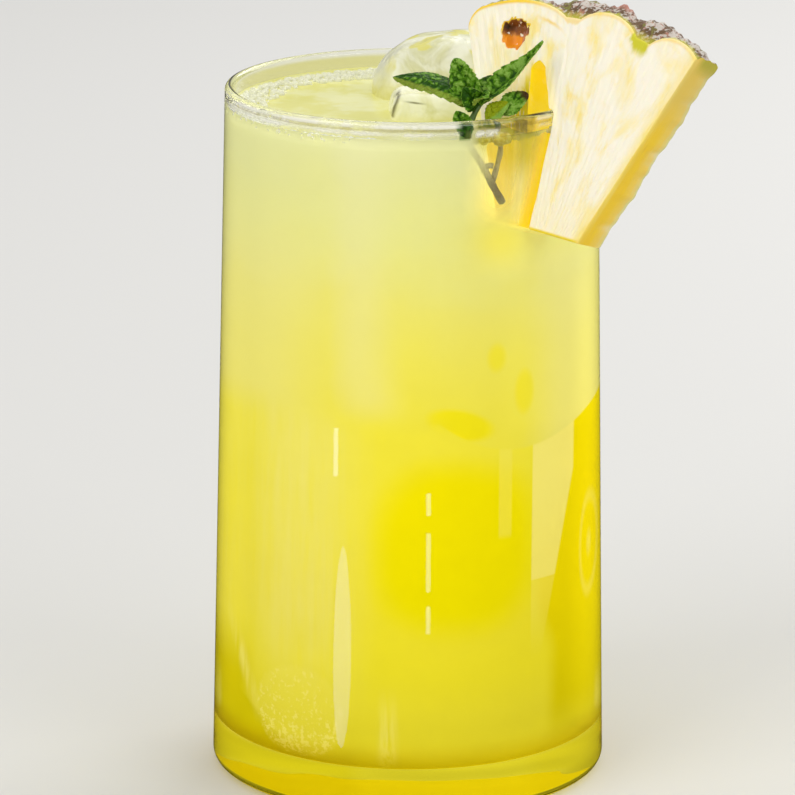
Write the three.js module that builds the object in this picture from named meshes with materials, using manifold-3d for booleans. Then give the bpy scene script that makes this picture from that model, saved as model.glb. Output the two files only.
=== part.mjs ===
// A highball of cloudy pineapple lemonade: glass, drink, ice, mint sprig and a slice of pineapple.
// Millimetres, +Z up. The origin is the middle of the glass's flat underside.

import * as THREE from 'three';
import { mergeVertices } from 'three/addons/utils/BufferGeometryUtils.js';
import Module from 'manifold-3d';

const wasm = await Module();
wasm.setup();

// The glass: a straight wall that narrows a little towards the rim, on a thick base
const GLASS_HEIGHT = 130;
const BASE_RADIUS = 37;
const RIM_RADIUS = 34.4;
const WALL = 1.8;
const BASE_THICKNESS = 8;
const FOOT_ROUND = 2.2;
const FLOOR_ROUND = 6;
const TURNS = 72;
const FOOT_STEPS = 5;
const RIM_STEPS = 8;
const FLOOR_STEPS = 6;

// The drink
const FREE_DEPTH = 4.6;
const LEVEL = GLASS_HEIGHT - FREE_DEPTH;
const GAP = 0.3;
const ROOM_GAP = 0.35;

// The pineapple slice: where it hangs on the rim and how it leans
const SLICE_BEARING = 44;
const SLICE_LEAN = 17.3;
const SLICE_TIP_IN = 6;
const HANG_DEPTH = 14.4;
const APEX_DROP = 28.3;

// The slice's own outline, about the apex where its two cut sides would meet
const SLICE_THICKNESS = 6.7;
const INNER_ANGLE = 20.5;
const OUTER_ANGLE = 32.3;
const TIP_CUT = 20.4;
const TIP_CUT_TILT = 9;
const VALLEY_RADIUS = 55.8;
const CORNER_ROUND = 3.6;
const SIDE_WAVE = 0.4;
const SIDE_WAVE_PITCH = 0.42;
const FRONT_EYES = [
  { at: -16, half: 20.2, rise: 7.4 },
  { at: 12, half: 8.3, rise: 5.6 },
  { at: 29, half: 8, rise: 7.2 },
];
const BACK_EYES = [
  { at: -18, half: 11, rise: 6.6 },
  { at: 3.2, half: 10.5, rise: 6.7 },
  { at: 20.6, half: 8.8, rise: 6.8 },
  { at: 36, half: 8.4, rise: 6.8 },
];
const BRACT = { at: 11.4, half: 4.2, depth: 0.15, spread: 0.55, rise: 2.4 };

// How far each row of eyes reaches through the slice, where 2 is from face to face, and the rind's
// swell half way through it
const FRONT_REACH = 2.6;
const BACK_REACH = 2.2;
const RIND_SWELL = 1.1;
const RIND_STEPS = 88;
const SIDE_STEPS = 10;
const TIP_STEPS = 6;
const LAYERS = 8;

// The slit that takes the glass wall, in the slice's own plane
const SLIT_CLEARANCE = 0.35;
const SLIT_TOP_RADIUS = 1.7;
const SLIT_TOP_STEPS = 8;
const SLIT_TOP = new THREE.Vector2(-2.8, 49.6);
const SLIT_RIM = new THREE.Vector2(1.1, 42.5);
const SLIT_FOOT_INNER = new THREE.Vector2(-2.6, 15);
const SLIT_FOOT_OUTER = new THREE.Vector2(-1.2, 15);
const SLIT_CUT_DEPTH = 20;
const WALL_CUT_BOTTOM = 93;

// The pit of a cut eye in the slice's front face, and how much wider it is towards the rind
const PIT = { across: -9.7, along: 55.6, width: 4, height: 2.9, depth: 1.9, flare: 0.38 };
const PIT_STEPS = 12;

// Ice cubes that break the surface: middle, half sizes and turns in degrees
const ICE_BACK = { at: [8.2, 16, 123.2], half: [16.4, 10.8, 13.6], turn: [4, 6, 8], round: 2.3 };
const ICE_FRONT = { at: [3.1, -4.4, 120], half: [7.6, 6.4, 9.6], turn: [0, 5, 4], round: 6.5 };
const ICE_STEPS = 7;

// Melted hollows: each is a sine of one part of the direction from the cube's middle
const ICE_WAVE = 0.025;
const ICE_WAVES = [
  { axis: 'x', pitch: 3, start: 1 },
  { axis: 'y', pitch: 4, start: -2 },
  { axis: 'z', pitch: 3.5, start: 0 },
];

// The mint sprig, about the point where its upper leaves meet
const SPRIG = new THREE.Vector3(12.2, -24.2, 131.2);
const STEM_RADIUS = 0.75;
const SHOOT_RADIUS = 0.6;
const STEM_ROUTE = [
  [4.1, -1.8, -17.6],
  [2.3, -2.4, -14.2],
  [0.4, -3, -10.4],
  [-2.2, -3.4, -5.7],
  [-1.5, -2, -2.6],
  [0, 0, 0.4],
];
const SHOOT_ROUTE = [
  [2.1, -2.4, -13.8],
  [3.5, -2.1, -7.7],
  [2.9, -2.2, -5.4],
  [3.2, -1.8, -2.8],
  [3.9, -1.2, -1.2],
];
const BUD_ROUTE = [
  [0.6, -3, -10.8],
  [1.5, -3.2, -10.2],
  [2.3, -3.3, -10.3],
];
const HEART_RADIUS = 1.3;
const SHOOT_HEART_RADIUS = 0.9;
const STEM_SIDES = 8;
const STEM_STEPS = 3;
const HEART_STEPS = 8;

// The leaves: thickness, steps, teeth along each edge, and the ripple of the blade
const LEAF_THICKNESS = 0.5;
const LEAF_LENGTH_STEPS = 12;
const LEAF_WIDTH_STEPS = 4;
const LEAF_TEETH = 6;
const TOOTH_DEPTH = 0.1;
const LEAF_LEAST = 0.32;
const BELLY_PLACE = 0.85;
const BELLY_FULLNESS = 0.6;
const RIPPLE = 0.25;
const RIPPLE_PITCH = 9;
const LEAVES = [
  { base: [-0.3, 0, 0], tip: [-15.6, 7.2, 3.6], up: [0.1, -0.36, 0.93], width: 7.2, arch: 2.2, fold: -14 },
  { base: [-0.4, 0.3, 0.4], tip: [-4.5, 4, 7.8], up: [-0.5, -0.75, 0.4], width: 5.6, arch: 0.7, fold: 16 },
  {
    base: [0.2, 0.2, 0.3],
    tip: [11.3, 1.2, 11.6],
    up: [-0.62, -0.5, 0.6],
    width: 5.4,
    arch: -1.1,
    fold: 30,
    belly: { place: 0.62, fullness: 0.95 },
  },
  { base: [1.2, -1.7, -2.5], tip: [5.2, -1.1, 0.8], up: [-0.5, -0.8, 0.3], width: 3.8, arch: 0.4, fold: 14 },
  { base: [4, -1.1, -1.4], tip: [8.7, -0.2, 2.3], up: [-0.4, -0.85, 0.35], width: 4.4, arch: 0.6, fold: 18 },
  { base: [-2.2, -3, -5], tip: [-4.3, -2.6, -0.5], up: [0.3, -0.9, 0.2], width: 3.8, arch: 0.4, fold: 14 },
  { base: [0, -0.1, -0.2], tip: [-3.1, -2.2, 3.6], up: [-0.3, -0.85, 0.5], width: 4.6, arch: 0.8, fold: 16 },
  { base: [0.1, -0.1, -0.2], tip: [1.7, -3.3, 2.4], up: [0.1, -0.6, 0.8], width: 4.2, arch: 0.8, fold: 14 },
  { base: [0, 0.2, 0], tip: [2.6, 5.4, 4.2], up: [0, -0.5, 0.85], width: 4.8, arch: 0.8, fold: 12 },
];

// Corners of a surface closer than this are one
const WELD_DISTANCE = 1e-4;

const radians = THREE.MathUtils.degToRad;

/** A closed geometry as a solid that can be cut and joined. */
function solidOf(geometry) {
  const bare = geometry.clone();
  bare.deleteAttribute('normal');
  bare.deleteAttribute('uv');
  const merged = mergeVertices(bare, WELD_DISTANCE);
  const index = merged.getIndex().array;
  const kept = [];
  for (let i = 0; i < index.length; i += 3) {
    const [a, b, c] = [index[i], index[i + 1], index[i + 2]];
    if (a !== b && b !== c && c !== a) kept.push(a, b, c);
  }
  const vertProperties = new Float32Array(merged.getAttribute('position').array);
  const triVerts = new Uint32Array(kept);
  return new wasm.Manifold(new wasm.Mesh({ numProp: 3, vertProperties, triVerts }));
}

/** A solid as a geometry with flat faces. */
function geometryOf(solid) {
  const { vertProperties, triVerts } = solid.getMesh();
  const geometry = new THREE.BufferGeometry();
  geometry.setAttribute('position', new THREE.BufferAttribute(new Float32Array(vertProperties), 3));
  geometry.setIndex(new THREE.BufferAttribute(new Uint32Array(triVerts), 1));
  geometry.computeVertexNormals();
  return geometry;
}

/** A profile of radius and height turned round the vertical axis. */
function turned(profile) {
  const lathe = new THREE.LatheGeometry(profile, TURNS);
  return lathe.rotateX(Math.PI / 2);
}

/** Points along an arc, both ends included, with angles in degrees. */
function arc(x, y, radius, from, to, steps) {
  const points = [];
  for (let i = 0; i <= steps; i += 1) {
    const angle = radians(from + ((to - from) * i) / steps);
    points.push(new THREE.Vector2(x + radius * Math.cos(angle), y + radius * Math.sin(angle)));
  }
  return points;
}

/** The outer radius of the glass at a height. */
function outerRadius(z) {
  return BASE_RADIUS + ((RIM_RADIUS - BASE_RADIUS) * z) / GLASS_HEIGHT;
}

/** The cavity's profile from the wall down to the axis, shrunk by a gap. */
function cavityProfile(topZ, gap) {
  const cornerZ = BASE_THICKNESS + FLOOR_ROUND;
  const cornerR = outerRadius(cornerZ) - WALL - FLOOR_ROUND;
  return [
    new THREE.Vector2(outerRadius(topZ) - WALL - gap, topZ),
    ...arc(cornerR, cornerZ, FLOOR_ROUND - gap, 0, -90, FLOOR_STEPS),
    new THREE.Vector2(0, BASE_THICKNESS + gap),
  ];
}

/** The tumbler, open at the top, with a rounded rim and foot. */
function glassGeometry() {
  const lip = WALL / 2;
  const lipZ = GLASS_HEIGHT - lip;
  const outside = [
    new THREE.Vector2(0, 0),
    ...arc(BASE_RADIUS - FOOT_ROUND, FOOT_ROUND, FOOT_ROUND, -90, 0, FOOT_STEPS),
  ];
  const rim = arc(outerRadius(lipZ) - lip, lipZ, lip, 0, 180, RIM_STEPS);
  const inside = cavityProfile(lipZ, 0).slice(1);
  return turned([...outside, ...rim, ...inside]);
}

/** A ring along the glass wall, thicker than it by a clearance on every side. */
function wallCutter(bottomZ, clearance) {
  const half = WALL / 2 + clearance;
  const lipZ = GLASS_HEIGHT - WALL / 2;
  const middle = (z) => outerRadius(z) - WALL / 2;
  const profile = [
    new THREE.Vector2(middle(bottomZ) - half, bottomZ),
    new THREE.Vector2(middle(bottomZ) + half, bottomZ),
    ...arc(middle(lipZ), lipZ, half, 0, 180, RIM_STEPS),
    new THREE.Vector2(middle(bottomZ) - half, bottomZ),
  ];
  return turned(profile);
}

/** A rounded, slightly melted cube. */
function iceGeometry(cube, grow) {
  const box = new THREE.BoxGeometry(2, 2, 2, ICE_STEPS, ICE_STEPS, ICE_STEPS);
  const position = box.getAttribute('position');
  const point = new THREE.Vector3();
  for (let i = 0; i < position.count; i += 1) {
    point.fromBufferAttribute(position, i).normalize();
    const sum = ['x', 'y', 'z'].reduce((total, key) => total + Math.abs(point[key]) ** cube.round, 0);
    const wave = ICE_WAVES.reduce((total, { axis, pitch, start }) => {
      return total + Math.sin(pitch * point[axis] + start);
    }, 0);
    point.multiplyScalar(sum ** (-1 / cube.round) * (1 + ICE_WAVE * wave));
    position.setXYZ(
      i,
      point.x * (cube.half[0] + grow),
      point.y * (cube.half[1] + grow),
      point.z * (cube.half[2] + grow),
    );
  }
  box.computeVertexNormals();
  return box;
}

/** Places an object by a middle and turns in degrees. */
function place(object, at, turn) {
  object.position.fromArray(at);
  object.rotation.set(...turn.map(radians));
  object.updateMatrix();
  return object;
}

/** How far the rind's eyes of one row stand out at an angle, as a half ellipse each. */
function eyeRise(eyes, angle) {
  return eyes.reduce((most, eye) => {
    const across = (angle - eye.at) / eye.half;
    return Math.max(most, eye.rise * Math.sqrt(Math.max(0, 1 - across * across)));
  }, 0);
}

/** How far the rounded inner corner of the rind falls short of a sharp one at an angle. */
function cornerLoss(angle) {
  const share = 1 - (radians(angle + INNER_ANGLE) * VALLEY_RADIUS) / CORNER_ROUND;
  return CORNER_ROUND * (1 - Math.sqrt(1 - THREE.MathUtils.clamp(share, 0, 1) ** 2));
}

/** The rind's radius at an angle, and at a depth from -1 at the front face to 1 at the back. */
function rindRadius(angle, depth) {
  const front = eyeRise(FRONT_EYES, angle) * Math.sqrt(Math.max(0, 1 - ((depth + 1) / FRONT_REACH) ** 2));
  const back = eyeRise(BACK_EYES, angle) * Math.sqrt(Math.max(0, 1 - ((1 - depth) / BACK_REACH) ** 2));
  const away = Math.hypot((angle - BRACT.at) / BRACT.half, (depth - BRACT.depth) / BRACT.spread);
  const swell = RIND_SWELL * (1 - depth ** 2) + BRACT.rise * Math.max(0, 1 - away);
  return VALLEY_RADIUS + Math.max(front, back) + swell - cornerLoss(angle);
}

/** A point of the slice's plane from its distance and angle about the apex. */
function polar(radius, angle) {
  return new THREE.Vector2(radius * Math.sin(radians(angle)), radius * Math.cos(radians(angle)));
}

/** The distance of the tip cut from the apex at an angle. */
function tipRadius(angle) {
  return TIP_CUT / Math.cos(radians(angle - TIP_CUT_TILT));
}

/** The slice's outline at a depth, anticlockwise as seen from the front, from its inner tip corner. */
function sliceOutline(depth) {
  const points = [];
  const fan = OUTER_ANGLE + INNER_ANGLE;
  for (let i = 0; i < TIP_STEPS; i += 1) {
    const angle = -INNER_ANGLE + (fan * i) / TIP_STEPS;
    points.push(polar(tipRadius(angle), angle));
  }
  const outerEnd = rindRadius(OUTER_ANGLE, depth);
  for (let i = 0; i < SIDE_STEPS; i += 1) {
    const radius = THREE.MathUtils.lerp(tipRadius(OUTER_ANGLE), outerEnd, i / SIDE_STEPS);
    const fade = Math.min(1, i / 2) * ((depth + 1) / 2);
    const wave = SIDE_WAVE * fade * Math.sin(radius * SIDE_WAVE_PITCH);
    const point = polar(radius, OUTER_ANGLE);
    points.push(new THREE.Vector2(point.x + wave, point.y));
  }
  for (let i = 0; i < RIND_STEPS; i += 1) {
    const angle = OUTER_ANGLE - (fan * i) / RIND_STEPS;
    points.push(polar(rindRadius(angle, depth), angle));
  }
  const innerEnd = rindRadius(-INNER_ANGLE, depth);
  for (let i = 0; i < SIDE_STEPS; i += 1) {
    const radius = THREE.MathUtils.lerp(innerEnd, tipRadius(-INNER_ANGLE), i / SIDE_STEPS);
    points.push(polar(radius, -INNER_ANGLE));
  }
  return points;
}

/** The uncut slice: its outline carried through its thickness, front at -Y and back at +Y. */
function sliceGeometry() {
  const positions = [];
  const index = [];
  let count = 0;
  for (let layer = 0; layer <= LAYERS; layer += 1) {
    const depth = (2 * layer) / LAYERS - 1;
    const outline = sliceOutline(depth);
    count = outline.length;
    outline.forEach((point) => positions.push(point.x, (depth * SLICE_THICKNESS) / 2, point.y));
  }
  for (let layer = 0; layer < LAYERS; layer += 1) {
    for (let i = 0; i < count; i += 1) {
      const next = (i + 1) % count;
      const [a, b] = [layer * count + i, layer * count + next];
      index.push(a, b + count, b, a, a + count, b + count);
    }
  }
  const front = sliceOutline(-1);
  const back = sliceOutline(1);
  const last = LAYERS * count;
  THREE.ShapeUtils.triangulateShape(front, []).forEach(([a, b, c]) => index.push(a, b, c));
  THREE.ShapeUtils.triangulateShape(back, []).forEach(([a, b, c]) => {
    index.push(last + a, last + c, last + b);
  });
  const geometry = new THREE.BufferGeometry();
  geometry.setAttribute('position', new THREE.Float32BufferAttribute(positions, 3));
  geometry.setIndex(index);
  return geometry;
}

/** A flat outline in the slice's plane carried through a depth, centred on that plane. */
function platedOutline(points, depth) {
  const plate = new THREE.ExtrudeGeometry(new THREE.Shape(points), { depth, bevelEnabled: false });
  return plate.rotateX(Math.PI / 2).translate(0, depth / 2, 0);
}

/** The open slit above and beside the glass wall, with a round top. */
function slitGeometry() {
  const radius = SLIT_TOP_RADIUS;
  const points = [
    SLIT_FOOT_INNER,
    SLIT_FOOT_OUTER,
    SLIT_RIM,
    ...arc(SLIT_TOP.x, SLIT_TOP.y, radius, 0, 180, SLIT_TOP_STEPS),
  ];
  return platedOutline(points, SLIT_CUT_DEPTH);
}

/** The pit left by a cut eye: a ball that narrows towards the tip of the slice. */
function pitGeometry() {
  const ball = new THREE.SphereGeometry(1, PIT_STEPS, PIT_STEPS);
  const position = ball.getAttribute('position');
  for (let i = 0; i < position.count; i += 1) {
    const narrow = 1 - PIT.flare * (1 - position.getZ(i));
    position.setX(i, position.getX(i) * narrow);
  }
  ball.scale(PIT.width, PIT.depth, PIT.height);
  return ball.translate(PIT.across, -SLICE_THICKNESS / 2, PIT.along);
}

/** The room that the slice takes in the drink, larger than it by a gap. */
function sliceRoom(gap) {
  const reach = VALLEY_RADIUS;
  const side = gap / Math.cos(radians((INNER_ANGLE + OUTER_ANGLE) / 2));
  const points = [
    polar(tipRadius(-INNER_ANGLE) - gap, -INNER_ANGLE).add(new THREE.Vector2(-side, -side)),
    polar(tipRadius(OUTER_ANGLE) - gap, OUTER_ANGLE).add(new THREE.Vector2(side, -side)),
    polar(reach, OUTER_ANGLE).add(new THREE.Vector2(side, 0)),
    polar(reach, -INNER_ANGLE).add(new THREE.Vector2(-side, 0)),
  ];
  return platedOutline(points, SLICE_THICKNESS + 2 * gap);
}

/** A round rod along a smooth route. */
function rod(route, radius) {
  const curve = new THREE.CatmullRomCurve3(route.map((point) => new THREE.Vector3(...point)));
  const section = new THREE.Shape(arc(0, 0, radius, 0, 360 - 360 / STEM_SIDES, STEM_SIDES - 1));
  const steps = (route.length - 1) * STEM_STEPS;
  return new THREE.ExtrudeGeometry(section, { steps, bevelEnabled: false, extrudePath: curve });
}

/** Half the width of a leaf at a place along it, from 0 at the stem to 1 at the tip, with teeth. */
function leafHalfWidth(leaf, along) {
  const { place = BELLY_PLACE, fullness = BELLY_FULLNESS } = leaf.belly ?? {};
  const belly = Math.max(0, Math.sin(Math.PI * along ** place)) ** fullness;
  const tooth = 1 - TOOTH_DEPTH * ((along * LEAF_TEETH) % 1);
  return Math.max(LEAF_LEAST, (leaf.width / 2) * belly * tooth);
}

/** A thin wavy leaf: both faces are the same grid, a thickness apart. */
function leafGeometry(leaf) {
  const base = new THREE.Vector3(...leaf.base);
  const span = new THREE.Vector3(...leaf.tip).sub(base);
  const forward = span.clone().normalize();
  const side = new THREE.Vector3().crossVectors(forward, new THREE.Vector3(...leaf.up)).normalize();
  const up = new THREE.Vector3().crossVectors(side, forward);
  const [rows, columns] = [LEAF_LENGTH_STEPS, LEAF_WIDTH_STEPS];
  const size = (rows + 1) * (columns + 1);
  const positions = [];
  for (const face of [1, -1]) {
    for (let i = 0; i <= rows; i += 1) {
      const along = i / rows;
      const half = leafHalfWidth(leaf, along);
      for (let j = 0; j <= columns; j += 1) {
        const across = (2 * j) / columns - 1;
        const ripple = RIPPLE * Math.sin(along * RIPPLE_PITCH + across * 2) * Math.abs(across);
        const rise = half * Math.abs(across) * Math.tan(radians(leaf.fold)) + ripple;
        const lift = leaf.arch * 4 * along * (1 - along) + rise + (face * LEAF_THICKNESS) / 2;
        const point = base.clone().addScaledVector(span, along);
        point.addScaledVector(side, across * half).addScaledVector(up, lift);
        positions.push(point.x, point.y, point.z);
      }
    }
  }
  const at = (i, j, face) => face * size + i * (columns + 1) + j;
  const index = [];
  for (let i = 0; i < rows; i += 1) {
    for (let j = 0; j < columns; j += 1) {
      const [a, b, c, d] = [at(i, j, 0), at(i, j + 1, 0), at(i + 1, j + 1, 0), at(i + 1, j, 0)];
      index.push(a, b, c, a, c, d);
      index.push(a + size, c + size, b + size, a + size, d + size, c + size);
    }
  }
  const edge = [];
  for (let j = 0; j < columns; j += 1) edge.push(at(0, j, 0));
  for (let i = 0; i < rows; i += 1) edge.push(at(i, columns, 0));
  for (let j = columns; j > 0; j -= 1) edge.push(at(rows, j, 0));
  for (let i = rows; i > 0; i -= 1) edge.push(at(i, 0, 0));
  edge.forEach((a, k) => {
    const b = edge[(k + 1) % edge.length];
    index.push(a, a + size, b + size, a, b + size, b);
  });
  const geometry = new THREE.BufferGeometry();
  geometry.setAttribute('position', new THREE.Float32BufferAttribute(positions, 3));
  geometry.setIndex(index);
  return geometry;
}

/** The sprig's stem and shoots, thicker by a grow. */
function stemSolid(grow) {
  return solidOf(rod(STEM_ROUTE, STEM_RADIUS + grow))
    .add(solidOf(rod(SHOOT_ROUTE, SHOOT_RADIUS + grow)))
    .add(solidOf(rod(BUD_ROUTE, SHOOT_RADIUS + grow)));
}

/** The bud in which the leaves at the end of a stem meet. */
function heart(route, radius) {
  const ball = new THREE.SphereGeometry(radius, HEART_STEPS, HEART_STEPS);
  return solidOf(ball.translate(...route.at(-1)));
}

/** The sprig, one solid: its stem, its shoots, their buds and every leaf. */
function sprigGeometry() {
  const stems = stemSolid(0)
    .add(heart(STEM_ROUTE, HEART_RADIUS))
    .add(heart(SHOOT_ROUTE, SHOOT_HEART_RADIUS));
  const leaves = LEAVES.map((leaf) => solidOf(leafGeometry(leaf)));
  return geometryOf(leaves.reduce((whole, leaf) => whole.add(leaf), stems));
}

/** The frame of the pineapple slice: X across it and out of the glass, Y through it, Z to its rind. */
function sliceFrame() {
  const bearing = radians(-SLICE_BEARING);
  const hangZ = GLASS_HEIGHT - HANG_DEPTH;
  const radius = outerRadius(hangZ) - WALL / 2;
  const frame = new THREE.Object3D();
  frame.rotation.set(radians(-SLICE_LEAN), radians(-SLICE_TIP_IN), bearing, 'ZXY');
  const towardsRind = new THREE.Vector3(0, 0, 1).applyEuler(frame.rotation);
  frame.position.set(radius * Math.cos(bearing), radius * Math.sin(bearing), hangZ);
  frame.position.addScaledVector(towardsRind, -APEX_DROP);
  frame.updateMatrix();
  return frame;
}

/** The slice, cut to its outline, slit for the glass wall and with its eye pit. */
function pineappleGeometry(frame) {
  const toSlice = frame.matrix.clone().invert();
  const wall = wallCutter(WALL_CUT_BOTTOM, SLIT_CLEARANCE).applyMatrix4(toSlice);
  const slice = solidOf(sliceGeometry())
    .subtract(solidOf(wall))
    .subtract(solidOf(slitGeometry()))
    .subtract(solidOf(pitGeometry()));
  return geometryOf(slice);
}

/** The drink up to its level, cut round the slice, the ice and the stem. */
function drinkGeometry(frame, cubes) {
  const profile = [new THREE.Vector2(0, LEVEL), ...cavityProfile(LEVEL, GAP)].reverse();
  const room = solidOf(sliceRoom(ROOM_GAP).applyMatrix4(frame.matrix));
  const stem = stemSolid(GAP).translate(SPRIG.toArray());
  let drink = solidOf(turned(profile)).subtract(room).subtract(stem);
  cubes.forEach((cube) => {
    const holder = place(new THREE.Object3D(), cube.at, cube.turn);
    drink = drink.subtract(solidOf(iceGeometry(cube, GAP).applyMatrix4(holder.matrix)));
  });
  return geometryOf(drink);
}

const materials = {
  glass: new THREE.MeshStandardMaterial({ color: 0xf2f7f4, transparent: true, opacity: 0.35 }),
  drink: new THREE.MeshStandardMaterial({ color: 0xf0e65a, roughness: 0.2 }),
  ice: new THREE.MeshStandardMaterial({ color: 0xeef2d8, roughness: 0.12 }),
  mint: new THREE.MeshStandardMaterial({ color: 0x3f7a2c, roughness: 0.55, side: THREE.DoubleSide }),
  pineapple: new THREE.MeshStandardMaterial({ color: 0xf8ecb4, roughness: 0.45 }),
};

/** A named mesh with its own copy of a material. */
function named(name, geometry, material) {
  const mesh = new THREE.Mesh(geometry, material.clone());
  mesh.name = name;
  return mesh;
}

const slice = sliceFrame();
const model = new THREE.Group();
model.name = 'pineapple_lemonade';

model.add(named('glass', glassGeometry(), materials.glass));
model.add(named('lemonade', drinkGeometry(slice, [ICE_BACK, ICE_FRONT]), materials.drink));

const ice = new THREE.Group();
ice.add(place(named('ice_back', iceGeometry(ICE_BACK, 0), materials.ice), ICE_BACK.at, ICE_BACK.turn));
ice.add(place(named('ice_front', iceGeometry(ICE_FRONT, 0), materials.ice), ICE_FRONT.at, ICE_FRONT.turn));
model.add(ice);

const mint = new THREE.Group();
mint.position.copy(SPRIG);
mint.add(named('mint_sprig', sprigGeometry(), materials.mint));
model.add(mint);

const garnish = new THREE.Group();
garnish.position.copy(slice.position);
garnish.rotation.copy(slice.rotation);
garnish.add(named('pineapple_slice', pineappleGeometry(slice), materials.pineapple));
model.add(garnish);

export default model;
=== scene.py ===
"""A highball of cloudy pineapple lemonade: glass, drink, ice, froth, mint and a slice of pineapple.

Sizes here are millimetres and angles are degrees. Pieces are written in metres, in the part's own
frame: +Z up, -Y towards the viewer, and the origin in the middle of the glass's underside.
"""

import logging
from dataclasses import dataclass, field
from enum import Enum
from typing import Any, Callable, Sequence

import bmesh
import bpy
import numpy as np
from bpy.types import Material, Mesh, Node, NodeSocket, Object
from mathutils import Matrix, Vector


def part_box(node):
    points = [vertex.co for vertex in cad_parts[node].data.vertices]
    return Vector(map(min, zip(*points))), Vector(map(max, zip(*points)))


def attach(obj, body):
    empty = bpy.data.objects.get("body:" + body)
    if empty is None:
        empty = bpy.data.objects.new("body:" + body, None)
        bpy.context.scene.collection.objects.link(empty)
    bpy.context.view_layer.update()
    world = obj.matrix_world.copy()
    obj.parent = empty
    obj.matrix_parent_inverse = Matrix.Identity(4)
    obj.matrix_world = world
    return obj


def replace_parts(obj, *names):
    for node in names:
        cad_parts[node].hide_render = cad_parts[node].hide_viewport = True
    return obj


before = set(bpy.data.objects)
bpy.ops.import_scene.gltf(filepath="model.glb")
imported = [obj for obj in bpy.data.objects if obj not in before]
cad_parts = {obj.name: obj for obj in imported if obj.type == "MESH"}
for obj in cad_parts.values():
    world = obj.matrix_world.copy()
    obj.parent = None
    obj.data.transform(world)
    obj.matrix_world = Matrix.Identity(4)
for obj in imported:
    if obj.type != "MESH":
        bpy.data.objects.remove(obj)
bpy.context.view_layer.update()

logging.basicConfig(level=logging.INFO, format="%(message)s")
log = logging.getLogger("lemonade")

MM = 0.001
BODY = "root"
# the height of the drink's surface
LEVEL = 125.4
# degrees in a radian, for the angles that a shader works out
DEGREES = 57.3

Array = np.ndarray
Pair = tuple[float, float]
Colour = tuple[float, float, float]
Place = tuple[float, float, float]
Stops = Sequence[tuple[float, Colour]]
# each stop's height, with the red, green and blue of a screen colour
Heights = Sequence[tuple[int, int, int, int]]
# for each layer of paint, how much of it shows and its colour
Layers = list[tuple[Any, Any]]

BLACK: Colour = (0.0, 0.0, 0.0)
WHITE: Colour = (1.0, 1.0, 1.0)


def colour(red: int, green: int, blue: int) -> Colour:
    """A screen colour, 0 to 255 a channel, as the linear light that a shader works in.

    Args:
        red: Red channel.
        green: Green channel.
        blue: Blue channel.

    Returns:
        The three linear values.
    """
    shares = np.array([red, green, blue]) / 255
    linear = np.where(shares <= 0.04045, shares / 12.92, ((shares + 0.055) / 1.055) ** 2.4)
    return tuple(float(value) for value in linear)


# Shader expressions


class Value:
    """A shader socket that reads as a number, so that an expression on it adds its Math nodes."""

    def __init__(self, shader: "Shader", socket: NodeSocket) -> None:
        """Wraps a socket of a shader."""
        self.shader = shader
        self.socket = socket

    def math(self, operation: str, *others: Any) -> "Value":
        """Puts this value and others through one Math node.

        Args:
            operation: The Math node's operation.
            others: Numbers or values for its further inputs.

        Returns:
            The node's result.
        """
        inputs = dict(enumerate([self, *others]))
        node = self.shader.add("ShaderNodeMath", {"operation": operation}, inputs)
        return Value(self.shader, node.outputs[0])

    def __add__(self, other: Any) -> "Value":
        """This value plus another."""
        return self.math("ADD", other)

    __radd__ = __add__

    def __sub__(self, other: Any) -> "Value":
        """This value less another."""
        return self.math("SUBTRACT", other)

    def __rsub__(self, other: Any) -> "Value":
        """A number less this value."""
        return (self * -1).math("ADD", other)

    def __mul__(self, other: Any) -> "Value":
        """This value times another."""
        return self.math("MULTIPLY", other)

    __rmul__ = __mul__

    def __truediv__(self, other: Any) -> "Value":
        """This value over another."""
        return self.math("DIVIDE", other)

    def __pow__(self, other: Any) -> "Value":
        """This value to a power."""
        return self.math("POWER", other)

    def above(self, other: Any) -> "Value":
        """The larger of this value and another."""
        return self.math("MAXIMUM", other)

    def below(self, other: Any) -> "Value":
        """The smaller of this value and another."""
        return self.math("MINIMUM", other)

    def size(self) -> "Value":
        """This value without its sign."""
        return self.math("ABSOLUTE")

    def root(self) -> "Value":
        """The square root of this value."""
        return self.math("SQRT")

    def rise(self, start: float, end: float) -> "Value":
        """A smooth step.

        Args:
            start: Where it begins to leave 0.
            end: Where it reaches 1. An end below the start makes it fall instead.

        Returns:
            The step, from 0 to 1.
        """
        low, high = sorted((start, end))
        limits = (0.0, 1.0) if start < end else (1.0, 0.0)
        node = self.shader.add(
            "ShaderNodeMapRange",
            {"interpolation_type": "SMOOTHSTEP"},
            {"Value": self, "From Min": low, "From Max": high, "To Min": limits[0], "To Max": limits[1]},
        )
        return Value(self.shader, node.outputs[0])

    def hump(self, middle: float, half: float) -> "Value":
        """A smooth hump: 1 at a middle and 0 from a half width away on."""
        return (self - middle).size().rise(half, 0.0)

    def fading(self, length: float) -> "Value":
        """1 at 0, falling to 1/e each length."""
        return (self * (-1 / length)).math("EXPONENT")


def oval(x: Value, z: Value, middle: Pair, half: Pair, power: int = 2) -> Value:
    """How far out a place lies in an oval.

    Args:
        x: Place across.
        z: Height.
        middle: The oval's middle, across and up.
        half: Its half sizes, across and up.
        power: 2 is an oval, and a higher number is boxier.

    Returns:
        The sum of the powers of the shares of each half size: 0 in the middle and 1 at the edge.
    """
    across, up = (x - middle[0]) / half[0], (z - middle[1]) / half[1]
    return across.size() ** power + up.size() ** power


def spot(x: Value, z: Value, middle: Pair, half: Pair) -> Value:
    """A soft spot: a hump across times a hump up, each of its own half width."""
    return x.hump(middle[0], half[0]) * z.hump(middle[1], half[1])


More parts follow.
